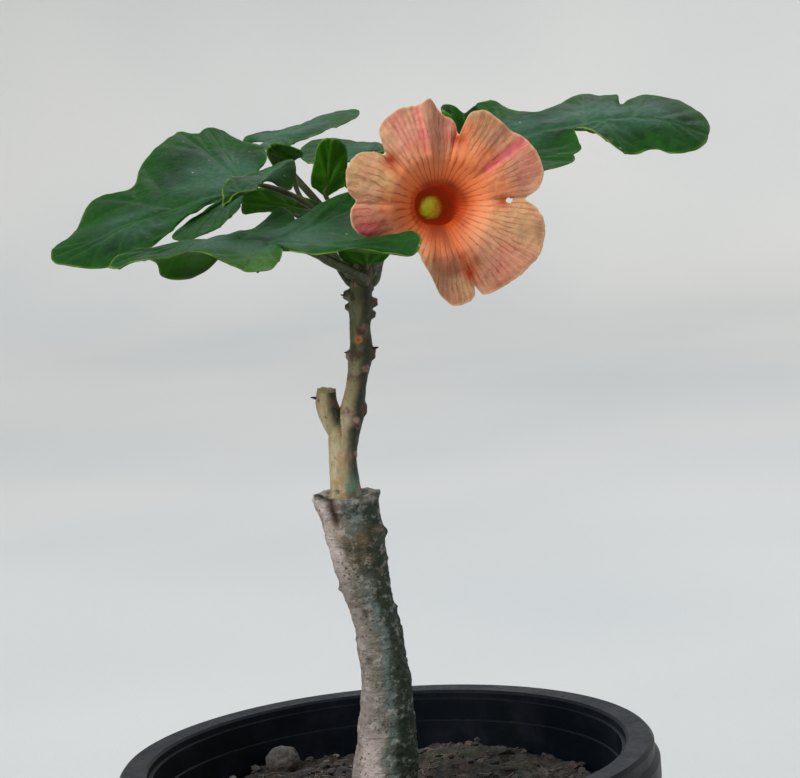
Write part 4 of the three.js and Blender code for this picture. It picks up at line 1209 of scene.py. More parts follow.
@dataclass
class Rootstock:
    """The thick trunk: fluted grey bark, a torn collar and a cut top with the cleft that holds the graft.

    A scar has a direction in radians, a height, a rise and a size. Girth is the radius at which the widths of
    scars and of the cleft are measured. The cut starts and is whole at two heights, and its top is hollowed
    from the dish's outer radius to its inner one.
    """

    line: tuple[Quad, ...] = (
        (-6, 2, 62, 2), (-5, 1.5, 82, 6), (-3.5, 0.5, 105, 10), (-2.8, 0, 125, 12.4), (-2.2, 0, 140, 11.7),
        (-1, 0, 152, 10.1), (-0.4, 0, 156, 9.7), (0.8, 0, 165, 8.8), (1.5, 0, 174, 8.1), (1.8, 0, 182, 7.5),
        (1.3, 0, 191, 7.2), (0.9, 0, 198.5, 7), (-0.6, 0, 206, 6.7), (-1.8, 0, 211, 7.2), (-2.7, 0, 218, 7.8),
        (-3.6, 0, 227, 8.8), (-4.7, 0, 233.5, 9), (-5.6, 0, 238, 9.8), (-5.9, 0, 241, 9.2),
    )
    sides: int = 132
    steps: int = 400
    crown: float = 240
    brim: float = 9.8
    cut_heights: Pair = (237, 240.4)
    dish: Pair = (4.5, 9.5)
    dish_depth: float = 0.9
    wound_foot: Pair = (229, 235)
    wound_turn: float = math.radians(-118)
    wound_depth: float = 1.5
    girth: float = 8
    scars: tuple[Quad, ...] = (
        (-0.2, 226.8, 1.5, 1.7), (-0.1, 219, 0.5, 1.1), (3.1, 212.5, 0.9, 1.4), (3.3, 196, 0.5, 1.0),
        (0.1, 203, 0.5, 1.2), (0.2, 187, 0.5, 1.1), (-2.15, 190.5, 0.4, 1.3), (-1.9, 205, 0.35, 1.2),
        (-1.35, 163, 0.7, 2.0), (2.0, 214, 0.9, 1.6), (1.2, 178, 0.8, 1.8), (2.6, 168, 0.6, 1.6),
        (0.9, 226, 0.8, 1.4),
    )

    def relief(self, centre: Vector, outward: Vector, share: float) -> float:
        """Returns what knots, wrinkles, scars and the torn collar add to the radius."""
        turn = math.atan2(outward.y, outward.x)
        spot = centre + outward * 9
        collar = smoothstep(233, 240, centre.z)
        knots = 0.35 * unevenness(1.4 * outward.x + centre.z * 0.21, 1.6 * outward.y, centre.z * 0.17)
        torn = collar * (0.55 * math.sin(3 * turn + 0.6) + 0.45 * math.sin(7 * turn + 1) + 0.5 * lumps(spot, 2.2))
        wrinkles = 0.08 * lumps(Vector((spot.x, spot.y, 2.6 * spot.z)), 3.4, 4)
        bark = 0.34 * lumps(spot, 5.0, 4) + 0.1 * lumps(spot, 0.9, 2)
        scars, _ = self.scarred(turn, centre.z)
        return knots + torn + wrinkles + bark + scars - self.wound_depth * self.wound(turn, centre.z)

    def wound(self, turn: float, height: float) -> float:
        """Returns how deep the open cleft is at a place, 0 to 1."""
        drift = self.wound_turn + 0.012 * (self.line[-1][2] - height)
        off = math.remainder(turn - drift, 2 * math.pi) * self.girth
        width = 0.5 + 1.2 * smoothstep(226, 241, height)
        return hump(off, width) * smoothstep(*self.wound_foot, height)

    def scarred(self, turn: float, height: float) -> Pair:
        """Returns the rise of the scars and warts at a place, and how near it is to one."""
        rise, near = 0.0, 0.0
        for where, level, high, size in self.scars:
            off = math.remainder(turn - where, 2 * math.pi) * self.girth
            mark = hump(math.hypot(off, 1.3 * (height - level)), size)
            rise += high * mark
            near = max(near, mark)
        return rise, near

    def build(self, material: Material) -> Piece:
        """Builds the trunk with its sunken cut top. Returns the piece."""
        bm = Bent(self.line, sides=self.sides, steps=self.steps, cap=16).mesh(self.relief)
        wound, cut, scar = painted(bm, "wound", "cut", "scar")
        tip = Vector(self.line[-1][:3])
        for vert in bm.verts:
            place = vert.co / MM
            row = level_row(self.line, place.z)
            vert[scar] = self.scarred(math.atan2(place.y - row[1], place.x - row[0]), place.z)[1]
            out = Vector((place.x - tip.x, place.y - tip.y))
            turn = math.atan2(out.y, out.x)
            vert[wound] = self.wound(turn, place.z)
            near = smoothstep(*self.cut_heights, place.z)
            ragged = 0.5 * lumps(Vector((math.cos(turn), math.sin(turn), 0.3)) * 4, 1.6, 3)
            inner = 1 - smoothstep(*self.dish, out.length)
            crown = self.crown + ragged - self.dish_depth * inner + 0.15 * lumps(place, 1.5)
            vert[cut] = near * (1 - smoothstep(0.88, 1.0, out.length / max(self.brim, out.length)))
            vert.co.z = lerp(place.z, min(place.z, crown), near) * MM
        paint_sides(bm, self.line)
        return carried(new_piece("trunk_bark", bm, (material,)), "bark", "rootstock")


@dataclass
class GraftedStem:
    """The thinner stem in the trunk's cleft, with a cut stub, leaf scars and tiny spurs.

    A bud has a height, a direction in degrees, a rise and a size. The window is the middle of a torn, orange
    place. Girth is the radius at which the widths of buds are measured.
    """

    stub: tuple[Quad, ...] = ((-4.6, 0, 256, 3), (-7.2, 0, 262, 3.4), (-8.8, 0, 267.5, 3.3), (-8.4, 0, 272, 2.7))
    buds: tuple[Quad, ...] = (
        (299, 180, 1.9, 1.3), (295.5, 178, 1.2, 1.2), (297, 0, 1.7, 1.4), (293.5, 4, 1.2, 1.2),
        (281, 185, 0.9, 1.5), (282, 0, 1.1, 1.6), (289, -80, 0.6, 1.9), (277.5, -50, 0.8, 1.2),
        (266, 10, 0.9, 1.8), (265, -110, 0.5, 1.6), (262, -60, 0.8, 1.3), (252, -30, 0.5, 1.2),
        (301.5, 20, 0.7, 1.2), (287, 100, 1.0, 1.5), (274, 80, 0.9, 1.5), (259, 110, 0.8, 1.6),
        (303, 230, 0.6, 1.1),
    )
    spurs: tuple[tuple[Triple, Triple], ...] = (
        ((-11.3, -0.6, 269.5), (-13.4, -0.9, 270)), ((0.2, -0.8, 299.2), (-1.9, -1.2, 299.8)),
        ((-0.3, -0.6, 282.2), (-2.3, -0.9, 282.6)), ((6.5, -0.6, 283), (8, -0.8, 283.3)),
    )
    window: Triple = (2.2, -3.3, 286.4)
    girth: float = 3.4
    sides: int = 84
    steps: int = 420
    stub_edge: float = -5
    stub_foot: float = 258
    stub_cut: float = 271.2

    def bud(self, centre: Vector, outward: Vector, share: float) -> float:
        """Returns what leaf scars and buds add to the stem's radius."""
        turn = math.degrees(math.atan2(outward.y, outward.x))
        total = 0.12 * lumps(centre + 4 * outward, 2.6, 4)
        for height, heading, rise, size in self.buds:
            off = math.radians((turn - heading + 180) % 360 - 180) * self.girth
            near = math.hypot(off, centre.z - height) / size
            total += rise * math.exp(-(near**4)) * (1 - 0.35 * hump(near, 0.35))
        return total

    def marked(self, bm: Mesh) -> None:
        """Paints the scars and the torn orange place."""
        scar, orange = painted(bm, "scar", "orange")
        marks = []
        for height, heading, rise, size in self.buds:
            turn = math.radians(heading)
            x, y, _, radius = level_row(SCION, height)
            spot = Vector((x + radius * math.cos(turn), y + radius * math.sin(turn), height))
            marks.append((spot, 1.25 * size, min(1.0, 0.55 + 0.5 * rise)))
        for vert in bm.verts:
            place = vert.co / MM
            vert[scar] = max(much * hump((place - spot).length, size) for spot, size, much in marks)
            off = place - Vector(self.window)
            vert[orange] = hump(math.hypot(off.x, 1.25 * off.z, off.y), 1.35)

    def build(self, materials: Sequence[Material]) -> Piece:
        """Builds the stem with its stub and spurs. Returns the piece."""
        bm = Bent(SCION, sides=self.sides, steps=self.steps).mesh(self.bud)
        self.marked(bm)
        stub = Bent(self.stub, sides=72, steps=110)
        joined(bm, stub.mesh(lambda centre, outward, share: 0.12 * lumps(centre + 4 * outward, 2.4, 4)))
        paint_sides(bm, SCION)
        bark, side = painted(bm, "bark", "side")
        for vert in bm.verts:
            place = vert.co / MM
            if place.x < self.stub_edge and place.z > self.stub_foot:
                x, _, _, radius = level_row(self.stub, place.z)
                vert[side] = 0.5 + 0.5 * (place.x - x) / radius
            if place.x < self.stub_edge + 0.5 and place.z > self.stub_cut:
                vert.co.z += 0.35 * lumps(place, 1.4, 2) * MM
                vert[bark] = 1.0
        for start, end in self.spurs:
            line = ((*start, 0.55), (*Vector(start).lerp(Vector(end), 0.5), 0.4), (*end, 0.12))
            joined(bm, Bent(line, sides=10, steps=8).mesh(), 1)
        return carried(new_piece("graft_stem", bm, materials), "stem", "scion")


# ---- pot, soil and pebble


@dataclass
class Pot:
    """The round nursery pot, with a rolled rim, two ledges inside its mouth and holes in its floor."""

    height: float = 160
    base_radius: float = 61
    mouth_radius: float = 71.5
    ring_radius: float = 81
    bead_radius: float = 82.5
    ring_width: float = 8.5
    ring_height: float = 5
    bead_height: float = 8
    wall: float = 1.6
    ledge_depths: Pair = (2.5, 9)
    ledge_width: float = 0.9
    hole_count: int = 6
    hole_radius: float = 4.5
    hole_circle: float = 48
    corner: float = 0.35
    sharp: float = math.radians(28)
    segments: int = 180

    def radius(self, height: float) -> float:
        """Returns the outer radius of the wall at a height."""
        return lerp(self.base_radius, self.mouth_radius, height / self.height)

    def profile(self) -> list[Pair]:
        """Returns the wall's section as radius and height, from the middle of the floor and back to it."""
        inner = self.ring_radius - self.ring_width
        bead_top = self.height - self.ring_height
        bead_foot = bead_top - self.bead_height
        upper, lower = (self.height - depth for depth in self.ledge_depths)
        under = self.height - self.wall - 1
        neck = self.radius(bead_foot)
        return [
            (0, 0), (self.base_radius - 1, 0), (self.base_radius, 1), (neck, bead_foot), (neck + 0.6, under),
            (self.ring_radius - self.wall - 0.8, under), (self.bead_radius - self.wall, bead_top - 2),
            (self.bead_radius - self.wall, bead_foot), (self.bead_radius - 0.5, bead_foot - 0.3),
            (self.bead_radius, bead_foot + 1), (self.bead_radius, bead_top - 1.4),
            (self.bead_radius - 0.7, bead_top - 0.5), (self.ring_radius, bead_top),
            (self.ring_radius, self.height - 1.2), (self.ring_radius - 1, self.height), (inner + 0.8, self.height),
            (inner, self.height - 0.7), (inner - 0.2, upper), (inner - self.ledge_width, upper - 0.4),
            (inner - self.ledge_width - 0.4, lower), (inner - 2 * self.ledge_width - 0.4, lower - 0.5),
            (self.radius(0) - self.wall, self.wall + 0.6), (self.radius(0) - self.wall - 0.8, self.wall),
            (0, self.wall),
        ]

    def cutter(self) -> Piece:
        """Builds the round bars that cut the drainage holes. Returns them as one piece."""
        bm = bmesh.new()
        for i in range(self.hole_count):
            turn = 2 * math.pi * (i + 0.5) / self.hole_count
            place = Vector((self.hole_circle * math.cos(turn), self.hole_circle * math.sin(turn), 1)) * MM
            bmesh.ops.create_cone(
                bm, cap_ends=True, segments=40, radius1=self.hole_radius * MM, radius2=self.hole_radius * MM,
                depth=8 * MM, matrix=Matrix.Translation(place),
            )
        return new_piece("hole_cutter", bm)

    def build(self, material: Material) -> Piece:
        """Builds the pot with its drainage holes and softened corners. Returns the piece."""
        shell = turned([(radius * MM, height * MM) for radius, height in self.profile()], self.segments)
        piece = new_piece("pot_shell", shell, (material,))
        cutter = self.cutter()
        holes = piece.modifiers.new("drainage holes", "BOOLEAN")
        holes.object, holes.operation, holes.solver = cutter, "DIFFERENCE", "EXACT"
        mesh = bpy.data.meshes.new_from_object(piece.evaluated_get(bpy.context.evaluated_depsgraph_get()))
        piece.modifiers.clear()
        piece.data = mesh
        bpy.data.objects.remove(cutter)
        mesh.shade_smooth()
        soften = piece.modifiers.new("softened corners", "BEVEL")
        soften.width, soften.segments = self.corner * MM, 3
        soften.limit_method, soften.angle_limit = "ANGLE", self.sharp
        weighted = piece.modifiers.new("even shading", "WEIGHTED_NORMAL")
        weighted.keep_sharp = True
        return carried(piece, "pot", "pot")


@dataclass
class Pebble:
    """The grey pebble half sunk in the soil."""

    centre: Triple = (-34, 51, 146.4)
    radii: Triple = (6, 4.6, 4.2)
    bed: float = 1.8

    def build(self, material: Material) -> Piece:
        """Builds the pebble. Returns the piece."""
        bm = bmesh.new()
        bmesh.ops.create_icosphere(bm, subdivisions=5, radius=1)
        for vert in bm.verts:
            way = vert.co.copy()
            lump = 1 + 0.07 * unevenness(2.2 * way.x, 2.6 * way.y, 2.4 * way.z)
            lump += 0.09 * noise.fractal(way * 1.5, 0.6, 2.0, 4) + 0.01 * noise.fractal(way * 14, 0.6, 2.0, 3)
            lump *= 1 - 0.12 * smoothstep(0.3, 1.0, -way.x - 0.3 * way.z)
            vert.co = Vector([c + r * lump * w for c, r, w in zip(self.centre, self.radii, way)]) * MM
        return carried(new_piece("grey_pebble", bm, (material,)), "pebble", "pebble")


@dataclass
class Soil:
    """The potting soil: a lumpy bed with chips of bark, roots and crumbs on it.

    The mix gives the shares of crumbs, chips and root pieces. Around the trunk, a clearing of x, y and radius
    stays free of them, and so does one around the pebble. The back mound has x, y and the square of its spread,
    and a patch of moss x, y, size and strength.
    """

    pot: Pot
    pebble: Pebble
    level: float = 142
    mound: float = 5
    back_mound: Triple = (22, 42, 260)
    trunk_spread: float = 500
    pebble_spread: float = 150
    moss_patches: tuple[Quad, ...] = ((24, 44, 13, 1.0), (40, 30, 9, 0.5))
    roughness: float = 1.1
    gap: float = 0.15
    columns: int = 240
    sides: int = 6
    rings: int = 90
    crumbs: int = 1400
    mix: Triple = (7, 3, 1)
    fibres: int = 110
    fibre_joints: int = 6
    fibre_step: float = 1.9
    trunk_clearing: Triple = (-2, 0, 13)
    pebble_clearing: float = 8
    seed: int = 11

    def height(self, x: float, y: float) -> float:
        """Returns the height of the bed at a place."""
        px, py, _ = self.pebble.centre
        back_x, back_y, spread = self.back_mound
        bed = self.pebble.bed * math.exp(-((x - px) ** 2 + (y - py) ** 2) / self.pebble_spread)
        trunk = 0.6 * self.mound * math.exp(-(x * x + y * y) / self.trunk_spread)
        back = self.mound * math.exp(-((x - back_x) ** 2 + (y - back_y) ** 2) / spread)
        return self.level + trunk + back + bed + self.roughness * unevenness(0.28 * x, 0.28 * y, 0)

    def reach(self, height: float) -> float:
        """Returns the bed's radius at a height."""
        return self.pot.radius(height) - self.pot.wall - self.gap - 1.2

    def surface(self, x: float, y: float) -> float:
        """Returns the height of the finer surface at a place."""
        spot = Vector((x, y, 0))
        return self.height(x, y) + 1.1 * lumps(spot, 5.0, 4) + 0.7 * lumps(spot, 1.6, 3)

    def build(self, earth: Material) -> Piece:
        """Builds the bed of soil. Returns the piece."""
        floor = self.pot.wall + self.gap
        floor_radii = (0.0, self.reach(floor) - 1, self.reach(floor) - 0.4)
        bm, places, (green,) = grid(self.columns, self.sides + self.rings, "moss")
        top = self.reach(self.level)
        for vert, column, row in places:
            turn = 2 * math.pi * (column % self.columns) / self.columns
            if row < self.sides:
                height = floor if row < 2 else lerp(floor + 1, self.level - 3, (row - 2) / (self.sides - 2))
                radius = self.reach(height) if row > 2 else floor_radii[row]
                x, y = radius * math.cos(turn), radius * math.sin(turn)
            else:
                radius = top * (1 - (row - self.sides) / self.rings)
                x, y = radius * math.cos(turn), radius * math.sin(turn)
                vert[green] = self.moss(x, y)
                height = self.surface(x, y) + 0.5 * vert[green]
            vert.co = Vector((x, y, height)) * MM
        return carried(new_piece("soil_bed", closed(bm), (earth,)), "soil", "soil")

    def moss(self, x: float, y: float) -> float:
        """Returns how mossy a place is: mostly the mound at the back."""
        patch = sum(much * hump(math.hypot(x - px, y - py), size) for px, py, size, much in self.moss_patches)
        return min(patch, 1.0) * smoothstep(-0.25, 0.25, lumps(Vector((x, y, 3)), 5.0, 3))

    def litter(self, chips: Sequence[Material]) -> Piece:
        """Builds the loose crumbs, bark chips and root fibres. Returns the piece."""
        rng = random.Random(self.seed)
        bm = bmesh.new()
        for _ in range(self.crumbs):
            self.crumb(bm, rng)
        for _ in range(self.fibres):
            self.fibre(bm, rng)
        return carried(new_piece("soil_litter", bm, chips, smooth=False), "soil")

    def crumb(self, bm: Mesh, rng: random.Random) -> None:
        """Drops one crumb or chip on the bed, unless it falls in a clearing."""
        radius = self.reach(self.level) * math.sqrt(rng.uniform(0.02, 1))
        turn = rng.uniform(0, 2 * math.pi)
        x, y = radius * math.cos(turn), radius * math.sin(turn)
        px, py, _ = self.pebble.centre
        if self.by_trunk(x, y) < 0 or math.hypot(x - px, y - py) < self.pebble_clearing:
            return
        size = 0.5 + 1.5 * rng.random() ** 3
        flat = Vector((rng.uniform(0.8, 1.8), rng.uniform(0.6, 1.1), rng.uniform(0.3, 0.7))) * size
        chip = bmesh.new()
        bmesh.ops.create_icosphere(chip, subdivisions=1 if size < 0.8 else 2, radius=1)
        shift = Vector((x, y, radius))
        spin = Matrix.Rotation(rng.uniform(0, 6.28), 3, "Z") @ Matrix.Rotation(rng.uniform(-0.6, 0.6), 3, "X")
        for vert in chip.verts:
            way = vert.co * (1 + 0.35 * noise.fractal(vert.co * 1.3 + shift, 0.6, 2.0, 3))
            way = Vector((way.x * flat.x, way.y * flat.y, way.z * flat.z))
            vert.co = (spin @ way + Vector((x, y, self.surface(x, y) + 0.25 * size))) * MM
        joined(bm, chip, rng.choices((0, 1, 2), self.mix)[0])

    def by_trunk(self, x: float, y: float) -> float:
        """Returns how far a place is outside the clearing around the trunk."""
        middle_x, middle_y, radius = self.trunk_clearing
        return math.hypot(x - middle_x, y - middle_y) - radius

    def fibre(self, bm: Mesh, rng: random.Random) -> None:
        """Lays one thin root fibre on the bed."""
        radius = (self.reach(self.level) - 7) * math.sqrt(rng.uniform(0.08, 1))
        turn, way = rng.uniform(0, 6.28), rng.uniform(0, 6.28)
        x, y = radius * math.cos(turn), radius * math.sin(turn)
        stations = []
        thick = rng.uniform(0.1, 0.22)
        for i in range(self.fibre_joints):
            lift = 0.3 + 0.9 * math.sin(math.pi * i / (self.fibre_joints - 1)) * rng.random()
            stations.append((x, y, self.surface(x, y) + lift, thick * (1 - 0.12 * i)))
            way += rng.uniform(-0.5, 0.5)
            x, y = x + self.fibre_step * math.cos(way), y + self.fibre_step * math.sin(way)
        if self.by_trunk(x, y) > 0 and math.hypot(x, y) < self.reach(self.level):
            joined(bm, Bent(stations, sides=6, steps=16).mesh(), 2)


# ---- finishes


class Surface:
    """A finish. A subclass draws some inputs of the Principled shader and fixes others."""

    fixed: dict[str, object] = {}

    def draw(self, tree: Tree) -> dict[str, Socket]:
        """Returns what is drawn, by the name of the shader's input."""
        raise NotImplementedError

    def build(self, name: str) -> Material:
        """Returns the material under a name."""
        made = bpy.data.materials.new(name)
        made.use_nodes = True
        made.node_tree.nodes.clear()
        tree = Tree(made.node_tree)
        shader = tree.node("ShaderNodeBsdfPrincipled")
        tree.feed(tree.node("ShaderNodeOutputMaterial").inputs[0], shader.outputs[0])
        for title, value in (self.draw(tree) | self.fixed).items():
            tree.feed(shader.inputs[title], value)
        return made


@dataclass(frozen=True)
class LeafFinish(Surface):
    """The leaf blade: deep green with a faint bluish painted sheen and a painted lit lobe above, slightly paler
    veins, brighter green below.
    """

    deep: Quad = srgb(12, 40, 16)
    fresh: Quad = srgb(30, 84, 16)
    painted_sheen: Quad = srgb(60, 98, 76)
    vein: Quad = srgb(64, 108, 54)
    edge: Quad = srgb(142, 164, 74)
    lit_lobe_green: Quad = srgb(54, 104, 2)
    below: Quad = srgb(44, 96, 4)
    below_vein: Quad = srgb(76, 126, 26)
    below_shade: Quad = srgb(18, 50, 6)
    speck: Quad = srgb(196, 198, 176)
    fixed = {
        "Specular IOR Level": 0.09, "Subsurface Weight": 0.15, "Subsurface Radius": (0.4, 1.0, 0.1),
        "Subsurface Scale": 0.0015,
    }

    def draw(self, tree: Tree) -> dict[str, Socket]:
        """Draws the upper side, the lower side, the pale margin and the specks."""
        place, tip, vein = tree.place(), tree.painted("tip"), tree.painted("vein")
        upper = tree.mix(tree.effect("mottle", 60.0, 0.2), self.deep, self.fresh)
        # painted sheen: a bluish reflection laid over the upper side in patches, fading out towards the tips
        sheen_patches = tree.patches((place, 34.0, 3), 0.38, 0.64, 0.12, 0.84)
        upper = tree.coat(upper, self.painted_sheen, sheen_patches, tree.ranged(tip, 0.3, 0.75, 1.0, 0.0))
        upper = tree.coat(upper, self.fresh, tree.ranged(tip, 0.6, 1.0, 0.0, 0.6))
        # painted light: the marked lobe turns bright green, as if light shone through it
        upper = tree.coat(upper, self.lit_lobe_green, "fresh")
        cells = tree.cells(place, 640.0)
        upper = tree.coat(upper, self.deep, tree.ranged(cells, 0.0, 0.9, 0.0, 0.3))
        upper = tree.coat(upper, self.vein, vein, 0.3)
        # painted shade: darker green patches laid at random over the underside
        lower = tree.mix(tree.patches((place, 70.0, 3), 0.4, 0.7, 0.0, 0.6), self.below, self.below_shade)
        lower = tree.coat(lower, self.below_vein, vein, 0.22)
        colour = tree.coat(upper, lower, "under")
        colour = tree.coat(colour, self.edge, "rim", tree.patches((place, 150.0, 2), 0.4, 0.65, 0.08, 0.6))
        return {
            "Base Color": tree.coat(colour, self.speck, tree.effect("specks", 200.0, 0.06), 0.6),
            "Roughness": tree.patches((place, 120.0, 4), 0.3, 0.7, 0.46, 0.62),
            "Normal": tree.bump(cells, 0.5, 0.14 * MM, tree.effect("grain", 900.0, 0.12 * MM)),
        }


@dataclass(frozen=True)
class StalkFinish(Surface):
    """A soft green or brownish stalk with fine specks."""

    light: Quad = srgb(72, 82, 40)
    dark: Quad = srgb(50, 44, 26)
    speck: Quad = srgb(120, 120, 88)
    fixed = {"Specular IOR Level": 0.35, "Subsurface Weight": 0.1, "Subsurface Scale": 0.001}

    def draw(self, tree: Tree) -> dict[str, Socket]:
        """Draws the two colours and the specks."""
        mottle = tree.effect("mottle", 160.0, 0.14)
        colour = tree.mix(mottle, self.light, self.dark)
        return {
            "Base Color": tree.coat(colour, self.speck, tree.effect("specks", 700.0, 0.25), 0.4),
            "Roughness": tree.ranged(mottle, 0.0, 1.0, 0.45, 0.62),
            "Normal": tree.effect("grain", 1500.0, 0.1 * MM),
        }


def fill_petal_veins(tree: Tree, taken: dict, given: dict) -> None:
    """Fills the group that draws forking veins along a lobe, from its petal map."""
    across, out, _ = tree.parts(tree.node("ShaderNodeUVMap", uv_map="petal").outputs[0])
    wander = tree.math("SUBTRACT", tree.noise(tree.place(), 130.0, 3), 0.5)
    bent = tree.math("ADD", across, tree.times(wander, taken["Wander"]))
    ragged = tree.jitter(out, tree.noise(tree.place(), 170.0, 1), 0.4)
    rim_span = 36

    def lines(count: float, shift: object, width: float) -> Socket:
        """Draws evenly spaced lines with a width in millimetres at the rim."""
        along = tree.math("FRACT", tree.math("ADD", tree.times(bent, count), shift))
        gap = tree.math("ABSOLUTE", tree.math("SUBTRACT", along, 0.5))
        wide = tree.math("DIVIDE", width * count / rim_span, tree.either(out, 0.15))
        return tree.ranged(gap, 0.0, wide, 1.0, 0.0)

    def forked(count: float, parting: Socket, width: float) -> Socket:
        """Draws lines that part in two where the parting rises."""
        return tree.either(*(lines(count, tree.times(parting, way), width) for way in (0.25, -0.25)))

    mains = tree.times(lines(9.0, 0.0, 0.29), tree.ranged(ragged, 0.4, 0.7, 1.0, 0.2))
    forks = forked(9.0, tree.ranged(ragged, 0.35, 0.7), 0.27)
    forks = tree.times(forks, tree.ranged(ragged, 0.65, 1.0, 0.9, 0.5))
    fine = forked(18.0, tree.ranged(ragged, 0.55, 0.95), 0.2)
    fine = tree.times(fine, tree.ranged(ragged, 0.4, 0.65, 0.0, 0.8))
    net = tree.ranged(tree.cells(tree.place(), 620.0, "DISTANCE_TO_EDGE"), 0.0, 0.12, 1.0, 0.0)
    net = tree.times(net, tree.ranged(out, 0.4, 0.7, 0.0, 0.38))
    tree.feed(given["Veins"], tree.either(tree.either(mains, forks), tree.either(fine, net)))
    tree.feed(given["Out"], out)


@dataclass(frozen=True)
class PetalFinish(Surface):
    """The lobes: peach with forking rust veins, orange to an ember throat, pink, tan and mauve tints, painted light
    and shade.
    """

    peach: Quad = srgb(220, 158, 116)
    pale: Quad = srgb(234, 188, 148)
    rose: Quad = srgb(222, 142, 120)
    tan: Quad = srgb(212, 180, 122)
    mauve: Quad = srgb(144, 88, 62)
    dusk: Quad = srgb(118, 42, 22)
    orange: Quad = srgb(230, 126, 66)
    glow: Quad = srgb(242, 128, 70)
    ember: Quad = srgb(206, 84, 26)
    throat: Quad = srgb(214, 72, 18)
    pit: Quad = srgb(168, 46, 22)
    through: Quad = srgb(84, 26, 8)
    unlit: Quad = srgb(0, 0, 0)
    vein: Quad = srgb(150, 44, 22)
    pink: Quad = srgb(232, 92, 116)
    pucker: Quad = srgb(172, 58, 18)
    rim: Quad = srgb(228, 200, 152)
    behind: Quad = srgb(196, 142, 104)
    fixed = {
        "Emission Strength": 1.0, "Specular IOR Level": 0.18, "Subsurface Weight": 0.22,
        "Subsurface Radius": (1.0, 0.4, 0.2), "Subsurface Scale": 0.0012,
    }

    def draw(self, tree: Tree) -> dict[str, Socket]:
        """Draws the tints from the rim to the throat, the veins over them, and painted light through the tube wall.
        """
        place, deep = tree.place(), tree.painted("depth")
        group = shader_group("petal veins", {"Wander": 0.05}, {"Veins": VALUE, "Out": VALUE}, fill_petal_veins)
        veins, out = tree.group(group, Wander=0.1).outputs
        body = tree.mix(tree.effect("mottle", 75.0, 0.18), self.peach, self.pale)
        body = tree.coat(body, self.rose, tree.patches((place, 120.0, 3), 0.45, 0.7, 0.0, 0.4))
        body = tree.coat(body, self.tan, "tan", tree.patches((place, 210.0, 3), 0.35, 0.6, 0.35, 0.9))
        # mauve tint, partly painted shade on lobe sides turned from the light
        body = tree.coat(body, self.mauve, "mauve", 0.82)
        reach = tree.jitter(out, tree.noise(place, 90.0, 2), 0.2)
        body = tree.coat(body, self.orange, tree.ranged(reach, 0.26, 0.58, 0.7, 0.0))
        # painted light: orange where the throat's wall and the lobes are lit
        body = tree.coat(body, self.glow, "glow", 0.7)
        body = tree.coat(body, self.pink, "blush", 0.68)
        body = tree.coat(body, self.ember, tree.ranged(deep, 0.06, 0.17, 0.0, 0.85))
        body = tree.coat(body, self.throat, tree.ranged(deep, 0.16, 0.3))
        body = tree.coat(body, self.pit, tree.ranged(deep, 0.35, 0.6))
        # painted shade on the throat's walls
        body = tree.coat(body, self.dusk, "dusk", 0.66)
        body = tree.coat(body, self.vein, veins, tree.patches((place, 260.0, 2), 0.36, 0.62, 0.22, 0.68))
        body = tree.coat(body, self.pucker, "pucker", 0.9)
        body = tree.coat(body, self.behind, "under", 0.86)
        # painted light: emission inside the tube stands in for light shining through its wall
        front = tree.math("SUBTRACT", 1.0, tree.painted("under"))
        lit = tree.times(tree.ranged(deep, 0.12, 0.24), front)
        return {
            "Base Color": tree.coat(body, self.rim, "rim", 0.7),
            "Roughness": tree.patches((place, 300.0, 3), 0.3, 0.7, 0.5, 0.7),
            "Emission Color": tree.mix(lit, self.unlit, self.through),
            "Normal": tree.bump(veins, 0.3, 0.08 * MM, tree.effect("grain", 1100.0, 0.08 * MM)),
        }


@dataclass(frozen=True)
class PistilFinish(Surface):
    """The pistil's moist tip: yellow-green, turning brownish orange on its right, which is partly painted shade."""

    lime: Quad = srgb(158, 164, 8)
    yellow: Quad = srgb(178, 140, 6)
    amber_shade: Quad = srgb(150, 66, 4)
    amber_shade_from: Pair = (0.0262, 0.0305)
    fixed = {"Specular IOR Level": 0.3, "Subsurface Weight": 0.25, "Subsurface Scale": 0.001}

    def draw(self, tree: Tree) -> dict[str, Socket]:
        """Draws the mottled tip and its darker right side, partly painted shade."""
        place = tree.place()
        body = tree.mix(tree.patches((place, 420.0, 3), 0.4, 0.62), self.lime, self.yellow)
        # painted shade: brownish orange on the right side, away from the light from the left
        across = tree.jitter(tree.parts(place)[0], tree.noise(place, 350.0, 3), 0.004)
        return {
            "Base Color": tree.coat(body, self.amber_shade, tree.ranged(across, *self.amber_shade_from, 0.0, 0.9)),
            "Roughness": tree.patches((place, 600.0, 2), 0.3, 0.7, 0.3, 0.5),
            "Normal": tree.effect("grain", 1500.0, 0.1 * MM),
        }


@dataclass(frozen=True)
class SimpleFinish(Surface):
    """Two mottled colours with specks and grain, for the small parts."""

    first: Quad
    second: Quad
    speck: Quad
    scale: float = 150.0
    roughness: Pair = (0.55, 0.75)
    depth: float = 0.15
    specks: float = 0.3
    fixed = {"Sheen Weight": 0.1}

    def draw(self, tree: Tree) -> dict[str, Socket]:
        """Draws the two colours and the specks."""
        mottle = tree.effect("mottle", self.scale, 0.14)
        colour = tree.mix(mottle, self.first, self.second)
        return {
            "Base Color": tree.coat(colour, self.speck, tree.effect("specks", 5 * self.scale, 0.28), self.specks),
            "Roughness": tree.ranged(mottle, 0.0, 1.0, *self.roughness),
            "Normal": tree.effect("grain", 7 * self.scale, self.depth * MM),
        }


